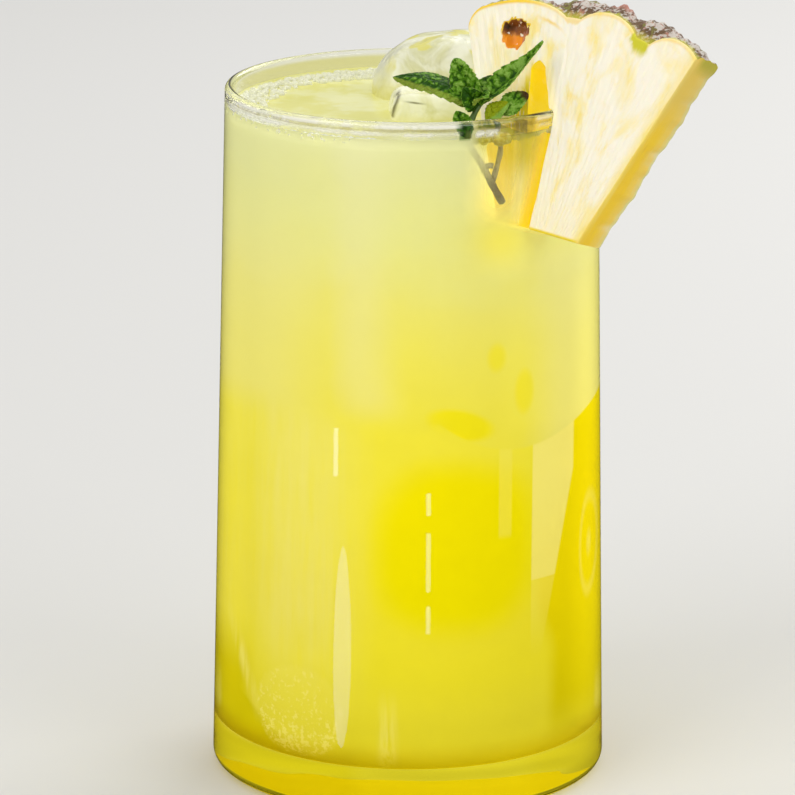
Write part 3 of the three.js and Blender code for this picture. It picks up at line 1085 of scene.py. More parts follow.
    def tone(self) -> NodeSocket:
        """The drink's colour: two layers that meet along a shallow bowl, crisp on the right and soft on
        the left, the shade about the stems, juice below the slice and the mottled open top.

        Returns:
            The colour.
        """
        x, y, z = self.xyz
        bowl = (68.4 + (x - 20) * (x - 20) * 0.028).below(74.5)
        over = z - bowl - (self.clouds - 0.5) * x.rise(8, -6) * 8
        crisp, soft = over.rise(-0.3, 0.3), over.rise(-4.0, 3.5)
        upper, lower = self.upper_tone(), self.lower_tone()
        right, left = self.blend(crisp, lower, upper), self.blend(soft, lower, upper)
        mottle = self.noise(self.places(), 0.09, 3.0, 0.6).rise(0.42, 0.62)
        shade = (x - (126 - z).above(0.0) * 0.8).hump(17.0, 8.0).rise(0.05, 0.35)
        shade = shade * z.hump(126, 11).rise(0.0, 0.8) * y.rise(-8, -16)
        juice = spot(x, z, (16, 108), (9, 8)) * y.rise(-10, -20)
        return self.painted(
            self.blend(x.rise(2, 9), left, right),
            (self.open_to_air(), self.blend(mottle, self.top, self.top_pale)),
            (shade * 0.9, self.olive),
            (juice * 0.6, self.fruity),
        )

    def open_to_air(self) -> Value:
        """1 on the free surface of the drink and 0 on its sides, up to the top of its climb.

        Returns:
            The share, 0 to 1.
        """
        x, y, z = self.xyz
        inside = (x * x + y * y).root().rise(32.8, 32.5)
        return z.rise(LEVEL - 0.5, LEVEL - 0.1) * inside

    def cloudiness(self) -> Value:
        """How much the drink hides what lies behind its surface.

        Returns:
            1 where there is nothing but drink, 0 over the slice where it touches the glass and
            rising with the depth of drink before it, and a tenth before the stems.
        """
        p, d, q = self.parts(self.place.coordinates(self))
        x, y, z = self.xyz
        above_tip = self.place.along(p, q).rise(19.6, 20.9)
        fruit = ((d.size() - self.half_slice).above(0.0)).fading(self.sight) * above_tip
        fruit = fruit * (p + q * 0.374).rise(-1.4, 0.6) * x.rise(4.0, 9.0) * y.rise(4.0, -4.0)
        stems = x.hump(15.5, 7.5) * z.rise(109.0, 116.0) * y.rise(-10.0, -20.0) * 0.9
        climbing = (x * x + y * y).root().rise(30.0, 31.5)
        below_top = z.rise(LEVEL - 0.3, LEVEL - 0.8).above(climbing)
        return 1 - fruit.above(stems) * below_top

    def material(self) -> Material:
        """A cloudy surface, glossy only where it is open to the air.

        Returns:
            The material.
        """
        tone = self.tone()
        ripple = self.noise(self.places(), 0.12, 2.0)
        surface = self.principled({
            "Base Color": tone,
            "Roughness": 0.5,
            "Specular IOR Level": 0.0,
            "Coat Weight": self.open_to_air() * 0.7,
            "Coat Roughness": 0.16,
            "Coat IOR": 1.34,
            "Emission Color": self.scatter(tone),
            "Emission Strength": self.glow,
            "Normal": self.bump(ripple, 0.5),
        })
        if self.layer is DrinkLayer.SKIN:
            surface = self.either(self.cloudiness(), self.clear(), surface)
        return self.finished(surface)


@dataclass
class Drink:
    """The drink: it fills the glass to its level and climbs the wall a little."""

    tumbler: Tumbler
    place: SliceFrame
    reach: float = 0.15
    climb: float = 1.3
    climb_width: float = 2.6
    calm_radius: float = 31.0
    core_inset: float = 1.2
    core_drop: float = 0.6
    dent_bearing: float = -56.0
    dent_half: float = 40.0
    dent_depth: float = 12.0
    dent_foot: float = 98.0
    dent_rise: float = 14.0
    turns: int = 240
    top_rings: int = 44

    def profile(self) -> Array:
        """The drink's outline.

        Returns:
            Radius and height, one row a point: level at the axis, climbing towards the wall as the
            square of the way through the climb's width, then down the cavity to the axis.
        """
        top = LEVEL + self.climb
        wall = self.tumbler.inner_radius(top) + self.reach
        radius = np.linspace(0, wall, self.top_rings, endpoint=False)
        climb = self.climb * np.clip((radius - wall) / self.climb_width + 1, 0, 1) ** 2
        surface = np.stack([radius, LEVEL + climb], axis=-1)
        return np.concatenate([surface, self.tumbler.cavity(top, self.reach)])

    def ripple(self, points: Array) -> Array:
        """Low ripples: two products of sines, only on the free surface and fading to the wall.

        Args:
            points: Points, one a row.

        Returns:
            The rise of each, in millimetres.
        """
        x, y, z = points.T
        inside = np.clip((self.calm_radius - np.hypot(x, y)) / 4, 0, 1)
        free = np.clip((z - LEVEL + 0.05) * 20, 0, 1) * inside
        broad = 0.03 * np.sin(x * 0.31 + 1) * np.cos(y * 0.27)
        return (broad + 0.015 * np.sin(x * 0.5 - y * 0.4)) * free

    def build(self) -> Object:
        """The drink, with low ripples on its surface.

        Returns:
            The piece.
        """
        patch = lathe(self.profile(), self.turns)
        patch.points[:, 2] += self.ripple(patch.points)
        finish = CloudyDrink(DrinkLayer.SKIN, self.place).material()
        piece = piece_from("lemonade_drink", patch, [finish])
        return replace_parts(piece, "lemonade")

    def build_core(self) -> Object:
        """The body of the drink a little way in, hollowed where the stems and the slice stand.

        Returns:
            The piece: the cavity's profile shrunk by an inset, its radius less a smooth dent about
            one bearing that deepens from the slice's tip upwards.
        """
        top = LEVEL - self.core_drop
        shrunk = self.tumbler.cavity(top, -self.core_inset)
        patch = lathe(np.concatenate([line((0.0, top), shrunk[0], 20), shrunk]), self.turns)
        x, y, z = patch.points.T
        away = (np.degrees(np.arctan2(y, x)) - self.dent_bearing) / self.dent_half
        deepening = np.clip((z - self.dent_foot) / self.dent_rise, 0, 1)
        dent = np.clip(1 - away**2, 0, 1) ** 2 * deepening * self.dent_depth
        patch.points[:, :2] *= (1 - dent / np.maximum(np.hypot(x, y), 20.0))[:, None]
        finish = CloudyDrink(DrinkLayer.CORE, self.place).material()
        piece = piece_from("lemonade_core", patch, [finish])
        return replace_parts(piece, "lemonade")


# Ice


@dataclass(frozen=True)
class IceLook:
    """How one kind of ice takes light, and the depth of its dents in millimetres."""

    roughness: float
    clearness: float
    coat: float
    glow: float
    relief: float


class IceKind(Enum):
    """How clear a lump of ice is."""

    MILKY = IceLook(roughness=0.3, clearness=0.1, coat=0.12, glow=0.08, relief=3.0)
    CLEAR = IceLook(roughness=0.1, clearness=0.3, coat=0.4, glow=0.24, relief=1.2)


class WetIce(Shader):
    """Wet ice that has started to melt."""

    white: Colour = colour(228, 228, 208)
    grey: Colour = colour(206, 205, 160)
    straw: Colour = colour(212, 205, 104)
    # the dark of the painted shade line down the cube and of its chip
    dark_line: Colour = colour(70, 64, 30)
    shadow: Colour = (0.86, 0.87, 0.8)
    bend: float = 1.31

    def __init__(self, kind: IceKind) -> None:
        """Starts the material of one kind of ice.

        Args:
            kind: How clear it is.
        """
        super().__init__(f"{kind.name.lower()}_ice")
        self.kind = kind
        self.clouds = self.noise(self.places(), 0.13, 3.0, 0.6, 0.8)
        self.dents = self.noise(self.places(), 0.16, 2.0, 0.4)

    def material(self) -> Material:
        """Ice with a smooth wet surface over soft grey clouds.

        Returns:
            The material.
        """
        look = self.kind.value
        layers = self.milky_layers() if self.kind is IceKind.MILKY else self.clear_layers()
        tint = self.painted(self.white, (self.clouds.rise(0.38, 0.62), self.grey), *layers)
        surface = self.principled({
            "Base Color": tint,
            "Roughness": look.roughness,
            "IOR": self.bend,
            "Transmission Weight": look.clearness,
            "Coat Weight": look.coat,
            "Coat Roughness": 0.06,
            "Coat IOR": 1.33,
            "Emission Color": tint,
            "Emission Strength": look.glow,
            "Normal": self.bump(self.dents * 0.6 + self.clouds * 0.4, look.relief),
        })
        return self.finished(self.lets_lamps_through(surface, self.shadow))

    def milky_layers(self) -> Layers:
        """On the mound: straw patches and a straw foot, and a painted white highlight that runs down it.

        Returns:
            The layers, lowest first.
        """
        x, _, z = self.xyz
        patches = self.noise(self.places(), 0.2, 2.0, 0.5).rise(0.5, 0.6) * z.rise(129.0, 132.0)
        # a painted white highlight running down the mound
        painted_highlight = (x + 2.5 + (136 - z) * 0.67 + (self.dents - 0.5) * 4).hump(0, 3.2) * z.rise(126.0, 128.0)
        return [
            (patches * 0.9, self.straw),
            (z.rise(131.0, 126.0) * 0.6, self.straw),
            (painted_highlight * 0.9, self.white),
        ]

    def clear_layers(self) -> Layers:
        """On the cube: a straw foot, a dark line of painted shade down the left of its front and a dark
        chip on its top.

        Returns:
            The layers, lowest first.
        """
        x, y, z = self.xyz
        # painted shade: a dark line down the left edge of the cube's front
        lean = x + 3.4 - (z - 126.5) * 0.3 + (self.clouds - 0.5) * 1.4
        dark_line = lean.hump(0, 0.6) * y.rise(-1.5, -4.5) * z.rise(125.6, 126.2)
        chip = (z - 128.6 + (x - 2) * 0.12).hump(0, 0.3) * x.hump(0.6, 2.6) * y.rise(-9.0, -10.0)
        return [(z.rise(127.0, 125.5) * 0.35, self.straw), (dark_line.above(chip) * 0.85, self.dark_line)]


@dataclass
class IceLump:
    """A melted cube of ice, with shallow hollows."""

    name: str
    node: str
    kind: IceKind
    middle: Place
    half: Place
    turn: Place
    roundness: float
    wave: float = 0.025
    hollow: float = 0.009
    steps: int = 40

    def swell(self, unit: Array) -> Array:
        """Three sines of the direction, with finer hollows on top.

        Args:
            unit: Directions, one a row.

        Returns:
            The share by which the lump grows in each.
        """
        x, y, z = unit.T
        broad = np.sin(3 * x + 1) + np.sin(4 * y - 2) + np.sin(3.5 * z)
        fine = np.sin(9 * x + 4 * z) * np.cos(8 * y - 2 * x) + 0.6 * np.sin(14 * x - 5 * y + 3)
        return self.wave * broad + self.hollow * fine

    def build(self) -> Object:
        """The lump: a rounded box, turned and set in its place.

        Returns:
            The piece.
        """
        box = round_box(self.half, self.roundness, self.steps, self.swell)
        set_down = box.moved(turn_of(*self.turn), self.middle)
        piece = piece_from(self.name, set_down, [WetIce(self.kind).material()])
        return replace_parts(piece, self.node)


# Froth


class BubbleSkin(Shader):
    """The wet skin of small bubbles."""

    glassy: Colour = colour(222, 222, 190)
    white: Colour = colour(240, 240, 230)
    golden: Colour = colour(212, 190, 60)
    straw: Colour = colour(236, 224, 120)
    shadow: Colour = (0.9, 0.9, 0.84)

    def material(self) -> Material:
        """Pale, glossy and half clear, and golden near the stems.

        Returns:
            The material.
        """
        x, y, _ = self.xyz
        tone = self.noise(self.places(), 0.8, 1.0)
        skin = self.blend(tone, self.glassy, self.white)
        golden = self.blend(tone.rise(0.4, 0.6), self.golden, self.straw)
        surface = self.principled({
            "Base Color": self.blend(x.rise(10.0, 13.0) * y.rise(-20.0, -24.0), skin, golden),
            "Roughness": 0.15,
            "IOR": 1.33,
            "Transmission Weight": 0.3,
        })
        return self.finished(self.lets_lamps_through(surface, self.shadow))


@dataclass(frozen=True)
class Stretch:
    """Bubbles along a stretch of the wall, between two bearings.

    They spread inward by up to `spread`, stand up to `height` above the level at the wall, and the
    largest is `growth` times as large as elsewhere.
    """

    start: float
    end: float
    bubbles: int
    spread: float
    height: float
    growth: float = 1.0


@dataclass
class Froth:
    """Small bubbles where the drink meets the glass, thick in some stretches and thin in others."""

    tumbler: Tumbler
    smallest: float = 0.22
    largest: float = 0.85
    climb_width: float = 2.6
    seed: int = 7
    stretches: tuple[Stretch, ...] = (
        Stretch(0.0, 360.0, bubbles=460, spread=0.7, height=0.9),
        Stretch(150.0, 215.0, bubbles=620, spread=5.5, height=0.3),
        Stretch(92.0, 150.0, bubbles=520, spread=4.5, height=0.5),
        Stretch(232.0, 262.0, bubbles=170, spread=1.2, height=0.9),
        Stretch(280.0, 312.0, bubbles=70, spread=2.5, height=0.7),
        Stretch(298.0, 311.0, bubbles=16, spread=0.6, height=0.9, growth=1.8),
    )

    def bubbles(self, stretch: Stretch, draw: np.random.Generator) -> tuple[Array, Array]:
        """The bubbles of one stretch.

        Args:
            stretch: Where they lie and how many they are.
            draw: The seeded source of chance.

        Returns:
            Their middles and their radii: most are small, as the cube of a random share, and
            most lie near the wall, as the square of one.
        """
        count = stretch.bubbles
        wall = self.tumbler.inner_radius(LEVEL)
        share = draw.random(count) ** (3 / stretch.growth)
        size = self.smallest + (self.largest * stretch.growth - self.smallest) * share
        bearing = np.radians(stretch.start + (stretch.end - stretch.start) * draw.random(count))
        radius = wall - size * 0.8 - stretch.spread * draw.random(count) ** 2
        climb = np.clip(1 - (wall - radius) / self.climb_width, 0, 1) ** 2
        z = LEVEL + stretch.height * climb + size * 0.15
        return np.stack([radius * np.cos(bearing), radius * np.sin(bearing), z], axis=-1), size

    def build(self) -> Object:
        """The bubbles: balls of seeded sizes, stretch by stretch.

        Returns:
            The piece.
        """
        draw = np.random.default_rng(self.seed)
        middles, radii = zip(*[self.bubbles(stretch, draw) for stretch in self.stretches])
        balls = scattered(pebble(4, 7), np.concatenate(middles), np.concatenate(radii))
        return piece_from("froth", balls, [BubbleSkin("bubble_skin").material()], weld=0.0005)


# The pineapple slice


class Fruit(Shader):
    """The colours of a ripe slice: flesh, cut side, rind, the pit of an eye and the juicy slit."""

    flesh: Colour = colour(253, 244, 224)
    mottle: Colour = colour(253, 234, 168)
    butter: Colour = colour(250, 224, 116)
    line: Colour = colour(246, 206, 50)
    juice: Colour = colour(240, 214, 24)
    deep_juice: Colour = (1.0, 0.72, 0.0)
    steeped: Colour = colour(255, 218, 50)
    # the cut side's tan and greyer tone are painted shade, and its pale edge is a painted highlight
    tan: Colour = colour(244, 210, 90)
    side_shade: Colour = colour(216, 196, 124)
    edge_highlight: Colour = colour(228, 220, 156)
    green: Colour = colour(208, 202, 44)
    olive: Colour = colour(188, 178, 66)
    moss: Colour = colour(132, 130, 48)
    orange: Colour = colour(240, 152, 26)
    pit_brown: Colour = colour(134, 78, 32)
    brown: Colour = colour(104, 76, 48)
    dark: Colour = colour(54, 38, 24)
    pink: Colour = colour(184, 124, 106)
    grey: Colour = colour(206, 200, 190)
    glow: float = 0.35


class Flesh(Fruit):
    """Cut flesh: cream with soft yellow clouds and fine fibres that run to the rind."""

    inner_light: float = 0.12
    # the slit's left edge at its top, the height of that top, and how far the edge leans a millimetre
    slit_left: float = -4.5
    slit_top: float = 49.6
    slit_slope: float = 0.055

    def __init__(self, place: SliceFrame) -> None:
        """Reads what the colours follow: places in the slice's frame, marks, and noises read there.

        Args:
            place: The slice's frame.
        """
        super().__init__("pineapple_flesh")
        self.local = place.coordinates(self)
        self.p, self.d, self.q = self.parts(self.local)
        self.under, self.pit, _ = self.mark("fruit")
        self.along = place.along(self.p, self.q)
        self.radius = (self.p * self.p + self.q * self.q).root()
        fan = self.p.math("ARCTAN2", self.q)
        self.angle = fan * DEGREES
        fibres = self.vector(fan * 42, self.radius * 0.10, self.d * 0.5)
        threads = self.vector(fan * 130, self.radius * 0.35, self.d)
        clouds = self.vector(fan * 40, self.radius * 0.42, self.d)
        self.fibre = self.noise(fibres, 1.0, 3.0, 0.6, 0.2)
        self.fine = self.noise(threads, 1.0, 2.0)
        self.cloud = self.noise(clouds, 0.17, 4.0, 0.62, 0.5)
        self.patch = self.noise(clouds, 0.42, 3.0, 0.65, 0.4)
        self.front = self.d.rise(-2.8, -3.2)

    def material(self) -> Material:
        """The flesh, gold in the drink. The mark `fruit` gives the depth below the rind and the pit.

        Returns:
            The material.
        """
        x, y, z = self.xyz
        wet = z.rise(125.8, 125.0) * (x * x + y * y).root().rise(33.2, 32.4)
        face = self.painted(self.flesh, *self.clouded(), *self.about_slit(), *self.along_edges(),
                            *self.about_pit(), (wet * 0.7, self.steeped))
        # a painted glow: the flesh gives off some of its colour, more in the painted light strip and in
        # the drink
        light = self.blend(self.painted_light_strip() * 0.5 + self.inner_light, BLACK, face)
        return self.finished({
            "Base Color": face,
            "Roughness": self.fine * 0.2 + 0.34,
            "Specular IOR Level": 0.35,
            "Subsurface Weight": 0.25,
            "Subsurface Radius": (1.0, 0.75, 0.3),
            "Subsurface Scale": 0.5 * MM,
            "Emission Color": self.blend(wet, light, self.steeped),
            "Emission Strength": self.glow,
            "Normal": self.bump(self.fibre * 0.6 + self.fine * 0.4, 0.3),
        })

    def clouded(self) -> Layers:
        """Yellow clouds, fibres and patches on the cream, yellower towards the tip.

        Returns:
            The layers, lowest first.
        """
        return [
            (self.cloud.rise(0.46, 0.68), self.mottle),
            (self.fibre.rise(0.55, 0.85) * 0.3, self.mottle),
            ((self.patch * self.cloud).rise(0.29, 0.42) * 0.55, self.butter),
            (self.radius.rise(33, 22) * 0.25, self.mottle),
        ]

    def painted_light_strip(self) -> Value:
        """The strip of the front face just right of the slit where light is painted in, lifting the shadow
        that a leaf casts there.

        Returns:
            The share, 0 to 1.
        """
        right = self.p - 1.0 + (self.q - 42.5) * 0.3
        strip = right.rise(2.8, 0.8) * right.rise(-0.8, 0.0)
        return strip * self.q.rise(38.0, 42.0) * self.q.rise(55.0, 49.0) * self.front

    def about_slit(self) -> Layers:
        """Along the slit: buttery flesh with cream threads on the left, juice that seeps out of it,
        wider further down, and a warm strip of painted light on the right.

        Returns:
            The layers, lowest first.
        """
        q = self.q
        aside = self.slit_left + (self.slit_top - q) * self.slit_slope - self.p
        left = aside.rise(-1.0, 0.0)
        beside = aside.rise(9.0, 3.0) * left * q.hump(41.0, 14.0) * self.front
        reach = (self.slit_top + 1.5 - q).above(0.0) * 0.36
        seep = (aside + self.patch * 5.0 - 2.4 - reach).rise(0.9, -0.9) * left
        seep = seep * (1 - self.fine.rise(0.56, 0.68) * 0.6) * q.rise(32.0, 36.0)
        return [
            (beside * self.cloud.rise(0.3, 0.5), self.butter),
            (beside * self.fine.rise(0.58, 0.66), self.flesh),
            (seep * q.rise(51.5, 50.5) * self.front, self.juice),
            # painted light in the strip right of the slit
            (self.painted_light_strip() * 0.7, self.mottle),
        ]

    def along_edges(self) -> Layers:
        """Along the edges: a yellow line under the rind and a second one inside it, a green notch,
        juice along the tip, a buttery border on the right, and the side's colours in painted shade.

        Returns:
            The layers, lowest first.
        """
        rim_line = self.under.rise(0.75, 0.1) * (1 - self.angle.rise(-8, 0) * 0.45)
        inner_line = (self.under - 2.6).hump(0, 0.6) * self.p.hump(-1.5, 4.5) * 0.7
        notch = (self.angle + (self.patch - 0.5) * 5).hump(20.0, 3.6).rise(0.1, 0.5)
        tip_line = self.along.rise(21.2, 20.6) * self.p.rise(-2.0, 1.0)
        side = self.angle.rise(31.2, 32.2) * self.d.size().rise(3.34, 3.2)
        tip = self.radius.rise(22.4, 21.0) * self.d.size().rise(3.3, 3.0)
        return [
            (rim_line.above(inner_line), self.line),
            (notch * self.under.rise(2.8, 0.8), self.green),
            (tip_line * self.front, self.juice),
            (self.angle.rise(28.5, 32.3) * self.front * 0.6, self.butter),
            # the cut side, painted as in shade
            (side, self.cut_side()),
            (tip * 0.8, self.butter),
        ]

    def about_pit(self) -> Layers:
        """The cut eye: an orange hollow, brown towards the rind, with pink streaks, flecks of flesh
        and one dark hole, and a yellow halo on the rind's side.

        Returns:
            The layers, lowest first.
        """
        p, q, ragged = self.p, self.q, self.noise(self.local, 0.9, 2.0)
        streak = self.noise(self.vector(p * 1.6, self.d, q * 0.35), 1.0, 2.0)
        hollow = self.painted(
            self.pit_brown,
            ((q + ragged * 1.6).rise(57.4, 56.2), self.orange),
            (streak.rise(0.54, 0.62) * p.rise(-10.2, -8.6), self.pink),
            (ragged.rise(0.64, 0.7), self.flesh),
            ((p + 12.2).hump(0, 1.3) * (q - 57.2).hump(0, 1.2), self.dark),
        )
        halo = self.pit.rise(0.0, 0.01) * self.pit.rise(0.2, 0.08) * q.rise(55.0, 57.0)
        return [(self.pit.rise(0.04, 0.14), hollow), (halo, self.line)]

    def cut_side(self) -> NodeSocket:
        """The side where the knife went through, painted as in shade: cream, a yellow band, tan, and a
        painted highlight along its back edge.

        Returns:
            The colour.
        """
        p, d, q, under = self.p, self.d, self.q, self.under
        streak = self.noise(self.vector(p * 0.1, d * 1.4, q * 0.16), 1.0, 3.0, 0.6)
        across = d + (streak - 0.5) * 2.2
        return self.painted(
            self.butter,
            (across.rise(-4.0, -1.6), self.line),
            (across.rise(-0.6, 1.4), self.tan),
            # a painted highlight along the back edge, and painted shade greyer towards the rind
            (across.rise(1.6, 3.2), self.edge_highlight),
            (under.rise(18.0, 8.0) * 0.45, self.side_shade),
            (under.rise(4.0, 0.6) * d.rise(-2.6, -0.6), self.olive),
        )


class JuicyCut(Fruit):
    """The wet cut faces of the slit, full of juice and lit through the flesh."""

    def material(self) -> Material:
        """Yellow with buttery clouds, and deep gold below the drink's surface.

        Returns:
            The material.
        """
        cloud = self.noise(self.places(), 0.35, 3.0, 0.6)
        _, _, z = self.xyz
        tone = self.painted(
            self.juice,
            (cloud.rise(0.5, 0.75) * z.rise(124.0, 128.0) * 0.6, self.butter),
            (z.rise(127.0, 124.0), self.deep_juice),
        )
        return self.finished({
            "Base Color": tone,
            "Roughness": 0.3,
            "Emission Color": tone,
            "Emission Strength": self.glow,
            "Normal": self.bump(cloud, 0.3),
        })


class Rind(Fruit):
    """Scaly rind: brown and green plates, pink and grey on the raised parts, dark in the grooves."""

    def __init__(self, place: SliceFrame) -> None:
        """Starts the material, in the slice's frame."""
        super().__init__("pineapple_rind")
        self.local = place.coordinates(self)

    def material(self) -> Material:
        """The rind. The mark `rind` gives the height above the grooves and the bract.

        Returns:
            The material.
        """
        raised, spike, _ = self.mark("rind")
        patch = self.noise(self.local, 0.22, 3.0, 0.6, 0.8)
        scale = self.noise(self.local, 0.55, 3.0, 0.6, 0.4)
        grain = self.noise(self.local, 1.6, 3.0, 0.6)
        _, d, _ = self.parts(self.local)
        crust = scale * 0.5 + grain * 0.5 + raised * 0.12
        tone = self.painted(
            self.brown,
            (patch.rise(0.5, 0.62), self.moss),
            (scale.rise(0.48, 0.58) * 0.9, self.pink),
            (crust.rise(0.58, 0.66) * 0.9, self.grey),
            (raised.rise(0.3, 0.05), self.dark),
            (d.rise(-2.0, -3.2) * 0.8, self.green),
            (spike.rise(0.1, 0.8), self.pink),
        )
        return self.finished({
            "Base Color": tone,
            "Roughness": grain * 0.2 + 0.55,
            "Normal": self.bump(grain, 0.5),
        })


@dataclass(frozen=True)
class Eye:
    """One eye of the rind: its angle, half width and rise."""

    angle: float
    half: float
    rise: float


@dataclass(frozen=True)
class Bract:
    """The dried leaf of one eye: a low cone, placed by angle and by share of the depth."""

    angle: float = 11.4
    half_angle: float = 4.2
    depth: float = 0.15
    half_depth: float = 0.55
    rise: float = 2.0


@dataclass(frozen=True)
class Pit:
    """The hollow of an eye that the knife cut open."""

    across: float = -9.7
    up: float = 55.5
    half_width: float = 2.9
    half_height: float = 2.75
    depth: float = 1.9


@dataclass(frozen=True)
class Slit:
    """The open slit: its top, its right edge at the rim and the two corners of its foot."""

    top: Pair = (-2.8, 49.6)
    top_radius: float = 1.7
    rim: Pair = (1.1, 42.5)
    foot: tuple[Pair, Pair] = ((-2.6, 15.0), (-1.2, 15.0))
    clearance: float = 0.35


@dataclass
class PineappleSlice:
    """A fan of pineapple with its rind, slit to hang on the rim."""

    tumbler: Tumbler
    place: SliceFrame
    thickness: float = 6.7
    inner_angle: float = 20.5
    outer_angle: float = 32.3
    tip_cut: float = 20.4
    valley_radius: float = 55.8
    tallest_eye: float = 7.0
    corner_round: float = 3.6
    side_wave: float = 0.3
    rind_swell: float = 1.1
    front_eyes: tuple[Eye, ...] = (Eye(-16.0, 20.2, 7.4), Eye(12.0, 8.3, 5.6), Eye(29.0, 8.0, 7.2))
    back_eyes: tuple[Eye, ...] = (
        Eye(-18.0, 11.0, 6.6), Eye(3.2, 10.5, 6.7), Eye(20.6, 8.8, 6.8), Eye(36.0, 8.4, 6.8),
    )
    front_reach: float = 2.6
    back_reach: float = 2.2
    bract: Bract = Bract()
    pit: Pit = Pit()
    slit: Slit = Slit()
    edge: float = 0.35
    fan_steps: int = 150
    length_steps: int = 110
    depth_steps: int = 20
    crease: float = 50.0

    @property
    def round_depth(self) -> float:
        """The share of half the thickness where the edge's rounding begins."""
        return 1 - 2 * self.edge / self.thickness

    def eye_rise(self, eyes: Sequence[Eye], angle: Array) -> Array:
        """How far a row of eyes stands out: a half ellipse each, the highest one at each angle."""
        rises = [eye.rise * round_off((angle - eye.angle) / eye.half) for eye in eyes]
        return np.max(rises, axis=0)

    def bract_share(self, angle: Array, depth: Array) -> Array:
        """A cone over the bract: 1 at its middle, 0 at its edge.

        Args:
            angle: Angle about the apex.
            depth: -1 at the front face to 1 at the back.

        Returns:
            The share.
        """
        bract = self.bract
        away = np.hypot((angle - bract.angle) / bract.half_angle, (depth - bract.depth) / bract.half_depth)
        return np.clip(1 - away, 0, 1)

    def rind_radius(self, angle: Array, depth: Array) -> Array:
        """The rind's radius.

        Args:
            angle: Angle about the apex.
            depth: -1 at the front face to 1 at the back.

        Returns:
            The valley's radius plus the higher of the two rows, each rounded off away from its
            own face, plus a low swell and the cone of one bract, less the round of the corner.
        """
        front = self.eye_rise(self.front_eyes, angle) * round_off((depth + 1) / self.front_reach)
        back = self.eye_rise(self.back_eyes, angle) * round_off((1 - depth) / self.back_reach)
        from_corner = np.radians(angle + self.inner_angle) * self.valley_radius
        loss = self.corner_round * (1 - round_off(np.clip(1 - from_corner / self.corner_round, 0, 1)))
        swell = self.rind_swell * (1 - depth**2) + self.bract.rise * self.bract_share(angle, depth)
        return self.valley_radius + np.maximum(front, back) + swell - loss

    def tip_radius(self, angle: Array) -> Array:
        """The straight tip cut's distance from the apex at an angle."""
        return self.tip_cut / np.cos(np.radians(angle - self.place.tip_tilt))

    def pit_depth(self, p: Array, q: Array) -> Array:
        """How deep the cut eye goes: a bowl whose outline narrows to the tip, ragged along its top.

        Args:
            p: Place across the slice.
            q: Place along it.

        Returns:
            0 outside to 1 at the deepest.
        """
        across = p - self.pit.across
        up = (q - self.pit.up - 0.35 * np.cos(across * 0.6)) / self.pit.half_height
        wobble = 0.06 * np.sin(p * 3.1) + 0.05 * np.sin(p * 5.3 + 1) + 0.04 * np.sin(q * 4 + p)
        half = self.pit.half_width * (1 + 0.3 * np.clip(up, -1, 1))
        away = (np.abs(across / half) ** 3 + np.abs(up) ** 3) ** (1 / 3) + wobble
        return np.clip((1 - away) * 3.2, 0, 1)

    def wrinkle(self, angle: Array, rim_depth: Array) -> Array:
        """Low wrinkles of the rind: two sines that run aslant and stop at both faces."""
        waves = 0.16 * np.sin(angle * 2.9 + 5 * rim_depth) + 0.12 * np.sin(angle * 6.1 - 9 * rim_depth)
        return waves * np.clip((self.round_depth - np.abs(rim_depth)) * 6, 0, 1)

    def side_ripple(self, angle: Array, radius: Array, near: Array, rim_depth: Array) -> Array:
        """The ragged back edge of the cut side.

        Args:
            angle: Angle about the apex.
            radius: Distance from the apex.
            near: That distance at the tip cut.
            rim_depth: -1 at the front face to 1 at the back.

        Returns:
            Three sines of the radius, only near the outer angle, growing to the back face and
            nothing at the tip cut.
        """
        ragged = np.sin(radius * 0.42) + 0.5 * np.sin(radius * 1.13 + 1) + 0.35 * np.sin(radius * 2.3)
        share = np.clip((angle + self.inner_angle) / (self.outer_angle + self.inner_angle), 0, 1)
        growing = self.side_wave * (rim_depth + 1) * 0.5
        return growing * ragged * share**12 * np.clip((radius - near) / 6, 0, 1)

    def solid_points(self, angle: Array, along: Array, depth: Array) -> Array:
        """Points of the slice from three shares of it.

        Args:
            angle: Angle about the apex.
            along: 0 at the tip cut to 1 at the rind.
            depth: -1 at the front face to 1 at the back.

        Returns:
            Points in the slice's frame: the radius runs from the tip cut to the rind, and on a face
            the edge is rounded, the flesh is slightly uneven and the cut eye is sunk in.
        """
        rim_depth = np.clip(depth, -self.round_depth, self.round_depth)
        near = self.tip_radius(angle)
        far = self.rind_radius(angle, rim_depth) + self.wrinkle(angle, rim_depth)
        radius = near + (far - near) * along
        p = radius * np.sin(np.radians(angle)) + self.side_ripple(angle, radius, near, rim_depth)
        q = radius * np.cos(np.radians(angle))
        arc_left = np.radians(np.minimum(angle + self.inner_angle, self.outer_angle - angle)) * radius
        border = np.minimum(np.minimum(radius - near, far - radius), arc_left)
        on_face = (np.abs(depth) >= 1).astype(float)
        drop = self.edge * (1 - round_off(np.clip(1 - border / self.edge, 0, 1)))
        calm = np.clip(border / 1.5, 0, 1)
        uneven = (0.10 * np.sin(angle * 1.9 + np.sin(radius * 0.3)) + 0.07 * np.sin(angle * 5.3)
                  + 0.08 * np.sin(p * 0.9 + 2) * np.sin(q * 0.7)) * calm
        sunk = np.where(depth < 0, self.pit_depth(p, q) * self.pit.depth, 0.0) * calm
        inward = on_face * (drop + np.abs(uneven) + sunk)
        y = rim_depth * self.thickness / 2 + np.sign(depth) * on_face * (self.edge - inward)
        return np.stack([p, y, q], axis=-1)

